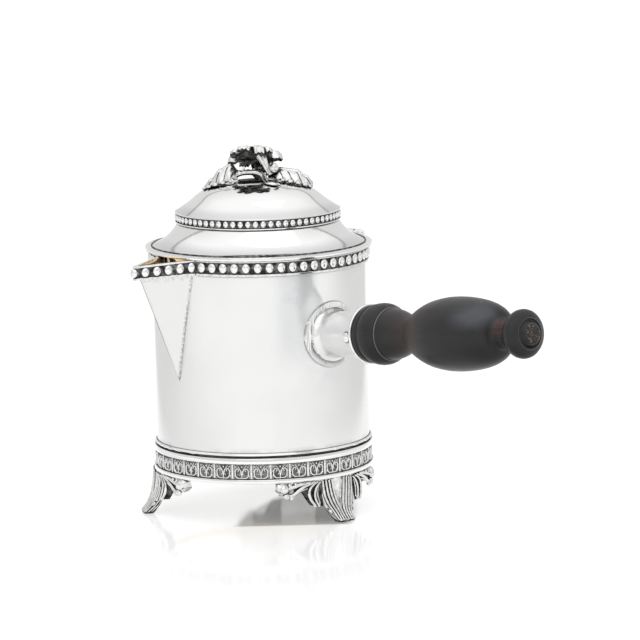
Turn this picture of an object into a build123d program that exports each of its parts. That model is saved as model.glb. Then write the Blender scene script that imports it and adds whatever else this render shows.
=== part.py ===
from build123d import *

import os
from math import asin, atan2, cos, degrees, pi, radians, sin, sqrt, tan

os.makedirs("parts", exist_ok=True)

# A lidded milk jug: upright cylinder, V-shaped spout, side handle, three cast feet.
# Every piece is drawn about the upright axis of the jug, with the table top at Z = 0,
# the handle along +X, the spout along -Y and the lid's hinge at +Y.
# At the end all are moved together, so that the origin lies under the middle of the whole.

# Body
body_radius = 45.0
body_wall = 0.9
foot_height = 17.7  # table to the underside of the body
rim_height = 110.8  # table to the rim
floor_plate = 1.2
floor_recess = 1.9  # underside of the floor plate above the lower edge of the wall

# Base mouldings, from the bottom up
lower_fillet_height = 1.9
lower_fillet_proud = 1.5
frieze_height = 6.4
frieze_proud = 0.5
frieze_relief = 0.45
frieze_panels = 36
frieze_bar = 1.1
wide_fillet_height = 2.5
wide_fillet_proud = 1.2
reed_gap = 0.5
reed_height = 1.4
reed_proud = 0.9

# Rim moulding and its beads
moulding_height = 6.5
moulding_lip = 0.8
moulding_foot = 1.5
moulding_proud = 1.3
channel_proud = 0.6
rim_beads = 25  # on each side, between the spout and the hinge
rim_bead_width = 3.2
rim_bead_height = 4.0
rim_bead_stand = 1.8

# Spout
spout_reach = 68.6  # jug axis to the nose at the level of the rim
spout_half_width = 11.0
spout_drop = 51.9  # rim to the lowest point of the spout on the wall
spout_wall = 0.9
spout_nose_radius = 1.0
spout_beads = 5  # on each lip, besides the one on the nose
spout_moulding_proud = 0.7
spout_channel_proud = 0.25
nose_bead_pitch = 4.95

# Handle
handle_root_height = 77.9
handle_tilt = 5.9
flange_radius = 13.5
flange_thickness = 1.1
cove_radius = 11.2
socket_root_radius = 9.4
socket_mouth_radius = 11.2
socket_length = 24.2
socket_wall = 0.9
ring_thickness = 1.0
ring_proud = 0.7
pin_radius = 0.8
pin_head_radius = 1.7
pin_set_back = 2.2  # pin to the mouth of the socket
tenon_length = 20.0
collar_radius = 12.2
torus_radius = 12.6
ball_radius = 10.6
grip_neck_radius = 6.9
barrel_radius = 15.1
end_neck_radius = 6.2
knob_radius = 9.9
knob_face_radius = 6.5
boss_radius = 4.5
collar_width = 3.4
torus_width = 8.6
ball_width = 12.5
barrel_width = 49.5
knob_width = 19.2
boss_height = 1.6

# Lid
flange_overhang = 2.8  # edge of the lid outside the wall
flange_height = 1.6
flange_ledge = 2.8  # flat edge round the foot of the cove
cove_spread = 11.0  # foot of the cove to its top, inwards
cove_height = 9.6
cove_mid_inset = 6.6  # foot of the cove to the middle of its curve
cove_mid_height = 3.9
lid_wall = 0.8
lid_ring_height = 4.6
lid_ring_lip = 0.6
lid_ring_proud = 0.9
lid_channel_proud = 0.2
lid_beads = 68
lid_bead_width = 2.3
lid_bead_height = 3.2
lid_bead_stand = 1.2
dome_rise = 12.7
dome_shoulder_inset = 6.6  # top of the cove to the dome's shoulder
dome_shoulder_rise = 5.1
dome_crown_inset = 14.3  # top of the cove to the start of the crown
dome_crown_rise = 9.65
bezel_gap = 0.5
bezel_wall = 0.8
bezel_depth = 5.5

# Hinge
hinge_offset = 5.2  # outside of the wall to the hinge axis
hinge_lift = 0.6  # rim to the hinge axis
knuckle_radius = 1.9
knuckle_length = 3.6
knuckle_gap = 0.15
hinge_pin_radius = 0.9
hinge_running_gap = 0.05
leaf_plate = 1.7
strap_length = 9.0

# Feet
foot_turns = {"foot_handle": 0.0, "foot_hinge": 120.0, "foot_spout": 240.0}
toe_radius = 52.6
toe_half_width = 4.6
ankle_height = 6.1  # where the two limbs of the leg part
leg_spread = 8.5  # outer edge of each limb where it meets the band
limb_width = 5.4
leg_thickness = 2.6
leaf_tip = 12.6  # middle of the foot to the tip of the C-shaped leaf
leaf_tip_height = 7.4
leaf_arch = 17.0
leaf_arch_height = 13.6
wing_tip = 21.5
wing_tip_height = 11.2
wing_half_span = 25.1
curl_radius = 2.0
rib_depth = 0.45

# Finial
finial_turn = 48.0  # line of the leaves, turned from the handle
twig_radius = 1.25
arch_half_span = 6.5
flower_radius = 10.8
flower_petals = 10
flower_height = 15.9  # rim of the lid's dome to the top of the flower
flower_lean = 24.0
petal_thickness = 1.1
stem_radius = 1.5
bud_radius = 2.1
leaf_reach = 22.5
solder_film = 0.02  # between the castings and the dome


# Planes and sizes that several pieces share
spout_half_angle = degrees(atan2(spout_half_width, spout_reach - sqrt(body_radius**2 - spout_half_width**2)))
spout_apex = (0, -body_radius, rim_height - spout_drop)
body_bore = body_radius - body_wall
axis_y = body_radius + hinge_offset
axis_z = rim_height + hinge_lift
hinge_width = 5 * knuckle_length + 4 * knuckle_gap
tilt = radians(handle_tilt)
handle_dir = (cos(tilt), 0, sin(tilt))
handle_root = (body_radius, 0, handle_root_height)
handle_side = Plane(origin=handle_root, x_dir=handle_dir, z_dir=(0, -1, 0))
handle_axis = Axis(handle_root, handle_dir)


def radial_plane(angle):
    """Upright plane through the jug's axis: X outwards at this angle, Y up."""
    a = radians(angle)
    return Plane(origin=(0, 0, 0), x_dir=(cos(a), sin(a), 0), z_dir=(sin(a), -cos(a), 0))


def wall_plane(angle, radius, height):
    """Plane that touches a cylinder about the jug's axis: X along it, Y up, Z outwards."""
    a = radians(angle)
    centre = (radius * cos(a), radius * sin(a), height)
    return Plane(origin=centre, x_dir=(-sin(a), cos(a), 0), z_dir=(cos(a), sin(a), 0))


def oval(width, height, sides):
    """Corners of an even-sided oval."""
    turn = 2 * pi / sides
    return [(width / 2 * cos(turn * (k + 0.5)), height / 2 * sin(turn * (k + 0.5))) for k in range(sides)]


def ring(height, proud, bottom, ease=0.25):
    """Flat-sided ring round the outside of the body, with eased outer edges."""
    with BuildPart() as made:
        with BuildSketch(Plane.XZ):
            with Locations((body_radius + proud / 2, bottom + height / 2)):
                Rectangle(proud, height)
        revolve(axis=Axis.Z)
        outer = made.edges().filter_by(GeomType.CIRCLE).group_by(SortBy.RADIUS)[-1]
        chamfer(outer, length=min(proud, height) * ease)
    return made.part


def bead(plane, width, height, stand, sides, sunk=0.25):
    """Half-round pearl on a plane, with flat facets, its back sunk into the channel."""
    with BuildPart() as made:
        for share, out in ((1.0, -sunk), (0.86, stand * 0.55), (0.42, stand)):
            with BuildSketch(plane.offset(out)):
                Polygon(*oval(width * share, height * share, sides), align=None)
        loft(ruled=True)
    return made.part


# Spout: the outside of the folded sheet, and the hollow inside it
nose_setback = spout_wall / sin(radians(spout_half_angle))
spout_back = body_radius * 0.6
back_half_width = (spout_reach - spout_back) * tan(radians(spout_half_angle))

with BuildPart() as spout_form:
    with BuildSketch(Plane.XY.offset(rim_height)) as mouth:
        with BuildLine():
            Polyline(
                (-back_half_width, -spout_back),
                (0, -spout_reach),
                (back_half_width, -spout_back),
                close=True,
            )
        make_face()
        fillet(mouth.vertices().sort_by(Axis.Y)[0], radius=spout_nose_radius)
    loft(sections=[mouth.sketch.face(), Vertex(*spout_apex)])

with BuildPart() as spout_hollow:
    with Locations((0, nose_setback, 0)):
        add(spout_form.part)

with BuildPart() as spout:
    add(spout_form.part)
    add(spout_hollow.part, mode=Mode.SUBTRACT)
    with Locations((0, 0, rim_height / 2)):
        Cylinder(body_radius, rim_height, mode=Mode.SUBTRACT)

# Body
with BuildPart() as body_wall_piece:
    with BuildSketch(Plane.XY.offset(foot_height)):
        Circle(body_radius)
        Circle(body_bore, mode=Mode.SUBTRACT)
    extrude(amount=rim_height - foot_height)
    add(spout_hollow.part, mode=Mode.SUBTRACT)

with BuildPart() as body_floor:
    with BuildSketch(Plane.XY.offset(foot_height + floor_recess)):
        Circle(body_bore)
    extrude(amount=floor_plate)

# Base mouldings
frieze_bottom = foot_height + lower_fillet_height
wide_fillet_bottom = frieze_bottom + frieze_height
reed_bottom = wide_fillet_bottom + wide_fillet_height + reed_gap

with BuildPart() as lower_fillet:
    add(ring(lower_fillet_height, lower_fillet_proud, foot_height))

with BuildPart() as wide_fillet:
    add(ring(wide_fillet_height, wide_fillet_proud, wide_fillet_bottom))

with BuildPart() as top_reed:
    add(ring(reed_height, reed_proud, reed_bottom, ease=0.45))

# Frieze: a plain strip with an upright bar between panels and a forked leaf in each
frieze_face = body_radius + frieze_proud
panel_angle = 360 / frieze_panels
panel_width = radians(panel_angle) * frieze_face - frieze_bar
frieze_middle = frieze_bottom + frieze_height / 2

with BuildPart() as frieze_unit:
    with BuildSketch(wall_plane(panel_angle / 2, frieze_face - 0.2, frieze_middle)):
        Rectangle(frieze_bar, frieze_height)
    extrude(amount=frieze_relief + 0.2)
    with BuildSketch(wall_plane(0, frieze_face - 0.2, frieze_middle)):
        for side in (-1, 1):
            w, h = side * panel_width / 2, frieze_height / 2
            with BuildLine():
                Polyline(
                    (0, -0.85 * h),
                    (0.85 * w, -0.55 * h),
                    (0.9 * w, 0.25 * h),
                    (0.5 * w, 0.8 * h),
                    (0.45 * w, 0.1 * h),
                    (0, -0.35 * h),
                    close=True,
                )
            make_face()
    extrude(amount=frieze_relief + 0.2)

with BuildPart() as frieze_band:
    with BuildSketch(Plane.XZ):
        with Locations((body_radius + frieze_proud / 2, frieze_middle)):
            Rectangle(frieze_proud, frieze_height)
    revolve(axis=Axis.Z)
    with PolarLocations(0, frieze_panels):
        add(frieze_unit.part)

# Rim moulding: a channel with a row of beads, from the spout round to the hinge on each side
moulding_bottom = rim_height - moulding_height
bead_level = (moulding_bottom + moulding_foot + rim_height - moulding_lip) / 2
spout_gap = degrees(
    asin((spout_half_width + spout_moulding_proud / cos(radians(spout_half_angle))) / body_radius)
)
hinge_gap = degrees(asin((hinge_width / 2 + 0.6) / body_radius))
moulding_arc = 180 - spout_gap - hinge_gap
bead_step = moulding_arc / rim_beads


def rim_moulding(start):
    """One stretch of beaded moulding, anticlockwise from this angle."""
    with BuildPart() as made:
        with BuildSketch(radial_plane(start)):
            with BuildLine():
                Polyline(
                    (body_radius, moulding_bottom),
                    (body_radius + moulding_proud, moulding_bottom),
                    (body_radius + moulding_proud, moulding_bottom + moulding_foot * 0.7),
                    (body_radius + channel_proud, moulding_bottom + moulding_foot),
                    (body_radius + channel_proud, rim_height - moulding_lip),
                    (body_radius + moulding_proud, rim_height - moulding_lip),
                    (body_radius + moulding_proud, rim_height),
                    (body_radius, rim_height),
                    close=True,
                )
            make_face()
        revolve(axis=Axis.Z, revolution_arc=moulding_arc)
        for k in range(rim_beads):
            place = wall_plane(start + bead_step * (k + 0.5), body_radius + channel_proud, bead_level)
            add(bead(place, rim_bead_width, rim_bead_height, rim_bead_stand, 8))
    return made.part


with BuildPart() as rim_moulding_right:
    add(rim_moulding(-90 + spout_gap))

with BuildPart() as rim_moulding_left:
    add(rim_moulding(90 + hinge_gap))

# Spout moulding: the same channel bent round the nose
slant = radians(spout_half_angle)


def lip_band(proud, bottom, top):
    """Wedge round the spout's lips, standing this far off the sheet at the rim."""
    with BuildPart() as made:
        with BuildSketch(Plane.XY.offset(bottom)) as outline:
            with BuildLine():
                Polyline(
                    (-back_half_width - proud / cos(slant), -spout_back),
                    (0, -spout_reach - proud / sin(slant)),
                    (back_half_width + proud / cos(slant), -spout_back),
                    close=True,
                )
            make_face()
            fillet(outline.vertices().sort_by(Axis.Y)[0], radius=spout_nose_radius + proud)
        extrude(amount=top - bottom)
    return made.part


def lip_plane(side, along):
    """Plane on one lip, this far from the nose: X along the lip, Y up, Z outwards."""
    nose = -spout_reach - spout_channel_proud / sin(slant)
    centre = (side * along * sin(slant), nose + along * cos(slant), bead_level)
    along_lip = (-sin(slant), side * -cos(slant), 0)
    return Plane(origin=centre, x_dir=along_lip, z_dir=(side * cos(slant), -sin(slant), 0))


with BuildPart() as spout_moulding:
    add(lip_band(spout_moulding_proud, moulding_bottom, moulding_bottom + moulding_foot))
    add(lip_band(spout_channel_proud, moulding_bottom, rim_height))
    add(lip_band(spout_moulding_proud, rim_height - moulding_lip, rim_height))
    for side in (-1, 1):
        for k in range(spout_beads):
            place = lip_plane(side, nose_bead_pitch * (k + 1))
            add(bead(place, rim_bead_width, rim_bead_height, rim_bead_stand * 0.8, 8, sunk=0.4))
    nose_place = wall_plane(-90, spout_reach - spout_nose_radius, bead_level)
    add(bead(nose_place, rim_bead_width, rim_bead_height, rim_bead_stand * 1.3, 8, sunk=0.6))
    add(spout_form.part, mode=Mode.SUBTRACT)
    with Locations((0, 0, rim_height / 2)):
        Cylinder(body_radius, rim_height * 1.1, mode=Mode.SUBTRACT)
    add(rim_moulding_left.part, mode=Mode.SUBTRACT)
    add(rim_moulding_right.part, mode=Mode.SUBTRACT)

# Handle: saddle flange, flared socket, ring, pin and turned wooden grip
with BuildPart() as handle_flange:
    with BuildSketch(handle_side):
        with BuildLine():
            Polyline(
                (-6, 0),
                (-6, flange_radius),
                (flange_thickness * 2, flange_radius),
                (flange_thickness * 2, 0),
                close=True,
            )
        make_face()
    revolve(axis=handle_axis)
    with BuildSketch(Plane.XY):
        Circle(body_radius + flange_thickness)
        Circle(body_radius, mode=Mode.SUBTRACT)
    extrude(amount=rim_height, mode=Mode.INTERSECT)
    with BuildSketch(handle_side):
        with BuildLine():
            Polyline((-8, 0), (-8, cove_radius), (8, cove_radius), (8, 0), close=True)
        make_face()
    revolve(axis=handle_axis, mode=Mode.SUBTRACT)

with BuildPart() as handle_socket:
    with BuildSketch(handle_side) as socket_section:
        with BuildLine():
            l1 = Line((-4, cove_radius), (flange_thickness * 0.8, cove_radius))
            l2 = RadiusArc(l1 @ 1, (flange_thickness + 2.4, socket_root_radius), -3.0)
            l3 = Line(l2 @ 1, (socket_length * 0.45, socket_root_radius + 0.25))
            l4 = ThreePointArc(
                l3 @ 1,
                (socket_length * 0.8, socket_root_radius + 0.8),
                (socket_length, socket_mouth_radius),
            )
            l5 = Line(l4 @ 1, (socket_length, socket_mouth_radius - socket_wall))
            l6 = Line(l5 @ 1, (socket_length - tenon_length, socket_root_radius - socket_wall))
            l7 = Line(l6 @ 1, (-4, socket_root_radius - socket_wall))
            l8 = Line(l7 @ 1, l1 @ 0)
        make_face()
    revolve(axis=handle_axis)
    with Locations((0, 0, rim_height / 2)):
        Cylinder(body_radius, rim_height, mode=Mode.SUBTRACT)

with BuildPart() as socket_ring:
    with BuildSketch(handle_side):
        with BuildLine():
            Polyline(
                (socket_length, socket_mouth_radius - socket_wall),
                (socket_length, socket_mouth_radius + ring_proud),
                (socket_length + ring_thickness, socket_mouth_radius + ring_proud),
                (socket_length + ring_thickness, socket_mouth_radius - socket_wall),
                close=True,
            )
        make_face()
    revolve(axis=handle_axis)
    fillet(socket_ring.edges().filter_by(GeomType.CIRCLE).group_by(SortBy.RADIUS)[-1], radius=ring_thickness * 0.4)

collar_start = socket_length + ring_thickness
torus_start = collar_start + collar_width
ball_start = torus_start + torus_width
barrel_start = ball_start + ball_width
knob_start = barrel_start + barrel_width
knob_end = knob_start + knob_width
tenon_tip = socket_length - tenon_length

with BuildPart() as handle_grip:
    with BuildSketch(handle_side) as grip_section:
        with BuildLine():
            g1 = Polyline(
                (tenon_tip, 0),
                (tenon_tip, socket_root_radius - socket_wall),
                (socket_length, socket_mouth_radius - socket_wall),
                (collar_start, socket_mouth_radius - socket_wall),
                (collar_start, collar_radius - 0.4),
                (collar_start + 0.4, collar_radius),
                (torus_start - 0.3, collar_radius + 0.1),
                (torus_start, collar_radius - 0.4),
            )
            g2 = ThreePointArc(
                g1 @ 1,
                (torus_start + torus_width * 0.42, torus_radius),
                (ball_start, ball_radius + 0.5),
            )
            g3 = Line(g2 @ 1, (ball_start, ball_radius))
            g4 = ThreePointArc(
                g3 @ 1,
                (ball_start + ball_width * 0.55, ball_radius - 1.1),
                (barrel_start, grip_neck_radius),
            )
            g5 = ThreePointArc(
                g4 @ 1,
                (barrel_start + barrel_width * 0.12, barrel_radius * 0.64),
                (barrel_start + barrel_width * 0.27, barrel_radius * 0.86),
            )
            g6 = ThreePointArc(
                g5 @ 1,
                (barrel_start + barrel_width * 0.58, barrel_radius),
                (barrel_start + barrel_width * 0.84, barrel_radius * 0.88),
            )
            g7 = ThreePointArc(
                g6 @ 1,
                (barrel_start + barrel_width * 0.92, barrel_radius * 0.77),
                (knob_start - 1.5, barrel_radius * 0.6),
            )
            g8 = Polyline(g7 @ 1, (knob_start - 1.0, end_neck_radius), (knob_start + 1.0, end_neck_radius))
            g9 = ThreePointArc(
                g8 @ 1,
                (knob_start + knob_width * 0.47, knob_radius * 0.74),
                (knob_end - 3.1, knob_radius),
            )
            g10 = ThreePointArc(
                g9 @ 1,
                (knob_end - 1.5, knob_radius * 0.93),
                (knob_end - 0.6, knob_face_radius + 0.8),
            )
            g11 = Polyline(
                g10 @ 1,
                (knob_end, knob_face_radius),
                (knob_end - 0.7, knob_face_radius - 0.6),
                (knob_end - 0.2, boss_radius + 0.4),
                (knob_end + boss_height * 0.6, boss_radius),
                (knob_end + boss_height, boss_radius * 0.6),
                (knob_end + boss_height, 0),
            )
            Line(g11 @ 1, g1 @ 0)
        make_face()
    revolve(axis=handle_axis)

pin_along = socket_length - pin_set_back
pin_reach = socket_root_radius + 0.8 + (socket_mouth_radius - socket_root_radius - 0.8) * 0.5
pin_plane = Plane(
    origin=tuple(handle_side.origin + handle_side.x_dir * pin_along), x_dir=handle_dir, z_dir=(0, -1, 0)
)

with BuildPart() as socket_pin:
    with BuildSketch(pin_plane.offset(-pin_reach)):
        Circle(pin_radius)
    extrude(amount=2 * pin_reach)
    with BuildSketch(Plane(origin=tuple(pin_plane.origin), x_dir=handle_dir, z_dir=(0, 0, 1))) as pin_side:
        with Locations((0, -pin_reach + 0.2)):
            Circle(pin_head_radius)
        with Locations((0, -pin_reach + 0.2 + pin_head_radius)):
            Rectangle(4 * pin_head_radius, 2 * pin_head_radius, mode=Mode.SUBTRACT)
        with Locations((-pin_head_radius, -pin_reach)):
            Rectangle(2 * pin_head_radius, 4 * pin_head_radius, mode=Mode.SUBTRACT)
    revolve(axis=Axis(tuple(pin_plane.origin), (0, -1, 0)))

with BuildPart() as handle_socket_pinned:
    add(handle_socket.part)
    add(socket_pin.part, mode=Mode.SUBTRACT)

with BuildPart() as handle_grip_pinned:
    add(handle_grip.part)
    add(socket_pin.part, mode=Mode.SUBTRACT)

# Lid: flange, bezel, cove, bead ring and dome
flange_rim_radius = body_radius + flange_overhang
cove_foot_radius = flange_rim_radius - flange_ledge
cove_mid_radius = cove_foot_radius - cove_mid_inset
cove_top_radius = cove_foot_radius - cove_spread
dome_shoulder_radius = cove_top_radius - dome_shoulder_inset
dome_crown_radius = cove_top_radius - dome_crown_inset
cove_bottom = rim_height + flange_height
ring_bottom = cove_bottom + cove_height
dome_bottom = ring_bottom + lid_ring_height
dome_top = dome_bottom + dome_rise
bezel_radius = body_bore - bezel_gap
ring_back = cove_top_radius - lid_wall

with BuildPart() as lid_flange:
    with BuildSketch(Plane.XZ) as flange_section:
        with BuildLine():
            Polyline(
                (bezel_radius, rim_height),
                (flange_rim_radius, rim_height),
                (flange_rim_radius, cove_bottom),
                (bezel_radius, cove_bottom),
                close=True,
            )
        make_face()
        fillet(flange_section.vertices().group_by(Axis.X)[-1], radius=flange_height * 0.45)
    revolve(axis=Axis.Z)

with BuildPart() as lid_bezel:
    with BuildSketch(Plane.XY.offset(rim_height - bezel_depth)):
        Circle(bezel_radius)
        Circle(bezel_radius - bezel_wall, mode=Mode.SUBTRACT)
    extrude(amount=bezel_depth + flange_height)

with BuildPart() as lid_cove:
    with BuildSketch(Plane.XZ):
        with BuildLine():
            outer_cove = ThreePointArc(
                (cove_foot_radius, cove_bottom),
                (cove_mid_radius, cove_bottom + cove_mid_height),
                (cove_top_radius, ring_bottom),
            )
            inner_cove = ThreePointArc(
                (cove_foot_radius - lid_wall * 2, cove_bottom),
                (cove_mid_radius - lid_wall * 0.7, cove_bottom + cove_mid_height - lid_wall * 0.7),
                (ring_back, ring_bottom),
            )
            Line(outer_cove @ 0, inner_cove @ 0)
            Line(outer_cove @ 1, inner_cove @ 1)
        make_face()
    revolve(axis=Axis.Z)

with BuildPart() as lid_moulding:
    with BuildSketch(Plane.XZ):
        with BuildLine():
            Polyline(
                (ring_back, ring_bottom),
                (cove_top_radius + lid_ring_proud, ring_bottom),
                (cove_top_radius + lid_ring_proud, ring_bottom + lid_ring_lip),
                (cove_top_radius + lid_channel_proud, ring_bottom + lid_ring_lip),
                (cove_top_radius + lid_channel_proud, dome_bottom - lid_ring_lip),
                (cove_top_radius + lid_ring_proud, dome_bottom - lid_ring_lip),
                (cove_top_radius + lid_ring_proud, dome_bottom),
                (ring_back, dome_bottom),
                close=True,
            )
        make_face()
    revolve(axis=Axis.Z)
    lid_bead_plane = wall_plane(0, cove_top_radius + lid_channel_proud, (ring_bottom + dome_bottom) / 2)
    lid_bead = bead(lid_bead_plane, lid_bead_width, lid_bead_height, lid_bead_stand, 6)
    with PolarLocations(0, lid_beads):
        add(lid_bead)


def dome_line(drop):
    """Half section of the dome from its edge to its top, lowered by a wall's thickness."""
    edge = (cove_top_radius + lid_ring_proud * 0.7 - drop * 1.5, dome_bottom)
    shoulder = (dome_shoulder_radius - drop * 0.6, dome_bottom + dome_shoulder_rise - drop * 0.7)
    crown = (dome_crown_radius - drop * 0.3, dome_bottom + dome_crown_rise - drop)
    top = (0, dome_top - drop)
    crown_radius = (crown[0] ** 2 + (top[1] - crown[1]) ** 2) / (2 * (top[1] - crown[1]))
    crown_middle = top[1] - crown_radius + sqrt(crown_radius**2 - (crown[0] / 2) ** 2)
    hollow = ((edge[0] + shoulder[0]) / 2, (edge[1] + shoulder[1]) / 2 - 0.2)
    swell = ((shoulder[0] + crown[0]) / 2 + 0.35, (shoulder[1] + crown[1]) / 2 + 0.35)
    ThreePointArc(edge, hollow, shoulder)
    ThreePointArc(shoulder, swell, crown)
    ThreePointArc(crown, (crown[0] / 2, crown_middle), top)
    return edge, top


with BuildPart() as lid_dome:
    with BuildSketch(Plane.XZ):
        with BuildLine():
            outer_edge, outer_top = dome_line(0)
            inner_edge, inner_top = dome_line(lid_wall)
            Line(outer_edge, inner_edge)
            Line(outer_top, inner_top)
        make_face()
    revolve(axis=Axis.Z)

with BuildPart() as dome_form:
    with BuildSketch(Plane.XZ):
        with BuildLine():
            solid_edge, solid_top = dome_line(-solder_film)
            Polyline(solid_top, (0, dome_bottom), solid_edge)
        make_face()
    revolve(axis=Axis.Z)

# Hinge: three knuckles on the body, two on the lid, one pin
knuckle_pitch = knuckle_length + knuckle_gap
hinge_plane = Plane(origin=(0, axis_y, axis_z), x_dir=(0, 1, 0), z_dir=(1, 0, 0))


def knuckles(numbers, outline, bore):
    """Barrels about the hinge axis, each joined to its leaf by an arm of this outline."""
    with BuildPart() as made:
        for number in numbers:
            start = (number - 2.5) * knuckle_pitch + knuckle_gap / 2
            with BuildSketch(hinge_plane.offset(start)):
                Circle(knuckle_radius)
                Polygon(*outline, align=None)
                Circle(bore, mode=Mode.SUBTRACT)
            extrude(amount=knuckle_length)
    return made.part


plate_face = body_radius + leaf_plate - axis_y
plate_top = rim_height - 0.4 - axis_z

with BuildPart() as hinge_body_leaf:
    with BuildSketch(hinge_plane.offset(-hinge_width / 2)):
        with Locations((-hinge_offset / 2, (moulding_bottom + rim_height) / 2 - axis_z - 0.2)):
            Rectangle(hinge_offset, moulding_height - 0.4)
    extrude(amount=hinge_width)
    with BuildSketch(Plane.XY):
        Circle(body_radius + leaf_plate)
    extrude(amount=rim_height, mode=Mode.INTERSECT)
    arm = [
        (plate_face - 0.5, moulding_bottom + 0.9 - axis_z),
        (plate_face - 0.5, plate_top),
        (plate_face + 1.5, plate_top),
        (0, 0),
        (knuckle_radius * 0.72, -knuckle_radius * 0.69),
    ]
    add(knuckles((0, 2, 4), arm, hinge_pin_radius))
    with Locations((0, 0, rim_height / 2)):
        Cylinder(body_radius, rim_height, mode=Mode.SUBTRACT)

strap_under = cove_bottom - axis_z

with BuildPart() as hinge_lid_leaf:
    strap = [
        (-strap_length, strap_under),
        (-strap_length, knuckle_radius),
        (0, knuckle_radius),
        (0, 0),
        (-knuckle_radius * 0.98, 0.3),
        (-knuckle_radius * 0.98, strap_under),
    ]
    add(knuckles((1, 3), strap, hinge_pin_radius + hinge_running_gap))
    with BuildSketch(hinge_plane.offset(-hinge_width / 2)):
        with Locations((-(strap_length + hinge_offset - 1.8) / 2 - 1.2, (strap_under + knuckle_radius) / 2)):
            Rectangle(strap_length - hinge_offset + 1.8, knuckle_radius - strap_under)
    extrude(amount=hinge_width)
    with BuildSketch(Plane.XY.offset(rim_height)):
        Circle(cove_foot_radius)
    extrude(amount=flange_height * 4, mode=Mode.SUBTRACT)

with BuildPart() as hinge_pin:
    with BuildSketch(hinge_plane.offset(-hinge_width / 2)):
        Circle(hinge_pin_radius)
    extrude(amount=hinge_width)

# Feet: the leg's profile turned about the jug's axis, cut to the outline seen from outside
leg_top = foot_height
leg_outer = body_radius + lower_fillet_proud
leg_inner = leg_outer - leg_thickness


def leg_skin(sink):
    """Curved wall with the profile of a leg, its outer face set back by this much."""
    with BuildPart() as made:
        with BuildSketch(radial_plane(-40)):
            with BuildLine():
                s1 = Spline(
                    (leg_outer - sink, leg_top),
                    (leg_outer + 0.5 - sink, leg_top * 0.6),
                    (leg_outer + 2.4 - sink, leg_top * 0.28),
                    (toe_radius - sink, 0.9),
                    tangents=[(0, -1), (1, -0.55)],
                )
                s2 = Polyline(s1 @ 1, (toe_radius - sink, 0), (toe_radius - 3.6, 0))
                s3 = Spline(
                    s2 @ 1,
                    (leg_inner + 2.4, leg_top * 0.25),
                    (leg_inner, leg_top * 0.62),
                    (leg_inner, leg_top),
                )
                Line(s3 @ 1, s1 @ 0)
            make_face()
        revolve(axis=Axis.Z, revolution_arc=80)
    return made.part


with BuildPart() as foot_block:
    with BuildSketch(Plane.YZ):
        for side in (-1, 1):
            with BuildLine():
                Polyline(
                    (0, 0),
                    (side * toe_half_width, 0),
                    (side * (toe_half_width + 0.9), 1.6),
                    (side * (toe_half_width + 2.4), ankle_height),
                    (side * leg_spread, leaf_tip_height - 0.4),
                    (side * leaf_tip, leaf_tip_height),
                    (side * (leaf_tip + 1.3), leaf_tip_height + 2.4),
                    (side * (leaf_arch - 1.8), leaf_arch_height - 1.0),
                    (side * leaf_arch, leaf_arch_height),
                    (side * (leaf_arch + 2.0), leaf_arch_height - 0.5),
                    (side * (wing_tip - 0.6), wing_tip_height),
                    (side * (wing_tip + 2.0), wing_tip_height + 0.2),
                    (side * wing_half_span, wing_tip_height + 2.6),
                    (side * wing_half_span, leg_top),
                    (0, leg_top),
                    close=True,
                )
            make_face()
    extrude(amount=toe_radius * 1.2)

with BuildPart() as foot:
    add(leg_skin(0))
    add(foot_block.part, mode=Mode.INTERSECT)

with BuildPart() as groove_block:
    with BuildSketch(Plane.YZ):
        for side in (-1, 1):
            for share in (0.3, 0.68):
                top_y = side * (leg_spread - limb_width * share)
                Polygon(
                    (top_y - 0.35, leg_top + 0.1),
                    (top_y + 0.35, leg_top + 0.1),
                    (side * (1.2 + 4.0 * (1 - share)), ankle_height - 1.0),
                    align=None,
                )
            Polygon(
                (side * 1.2, ankle_height - 1.2),
                (side * toe_half_width * 0.42, -0.1),
                (side * toe_half_width * 0.62, -0.1),
                align=None,
            )
            Polygon(
                (side * (leg_spread + 0.7), leg_top - 0.6),
                (side * (leaf_tip + 0.4), leg_top - 1.6),
                (side * (leaf_tip + 0.9), (leg_top + leaf_tip_height) / 2),
                (side * (leaf_tip - 0.7), leaf_tip_height + 1.2),
                (side * (leg_spread + 0.4), leaf_tip_height + 1.2),
                align=None,
            )
        Polygon(
            (0, ankle_height + 0.4),
            (leg_spread - limb_width, leg_top + 0.1),
            (limb_width - leg_spread, leg_top + 0.1),
            align=None,
        )
    extrude(amount=toe_radius * 1.2)
    add(leg_skin(rib_depth), mode=Mode.SUBTRACT)

with BuildPart() as foot_master:
    add(foot.part)
    add(groove_block.part, mode=Mode.SUBTRACT)
    for side in (-1, 1):
        turn = side * degrees(asin((wing_half_span - 0.7) / leg_outer))
        for height, size in ((leg_top - curl_radius, 1.0), (wing_tip_height + 1.6, 0.7)):
            width = curl_radius * 2 * size
            with BuildSketch(radial_plane(turn)):
                with Locations((leg_outer - 0.4, height)):
                    Polygon(*oval(width, width, 8), align=None)
            extrude(amount=curl_radius * size, both=True)

feet = {}
for name, turn in foot_turns.items():
    with BuildPart() as placed_foot:
        add(foot_master.part, rotation=(0, 0, turn))
    feet[name] = placed_foot

# Finial: drawn with its leaves along X and turned at the end; the twig's foot comes forward along -Y
def over_dome(x, y, lift):
    """Point at this height above the top of the dome."""
    return (x, y, dome_top + lift)


def cast_stick(points, radius, bend):
    """Round twig along a bent line."""
    with BuildPart() as made:
        with BuildLine() as path:
            FilletPolyline(*points, radius=bend)
        with BuildSketch(Plane(origin=path.line @ 0, z_dir=path.line % 0)):
            Circle(radius)
        sweep()
    return made.part


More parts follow.
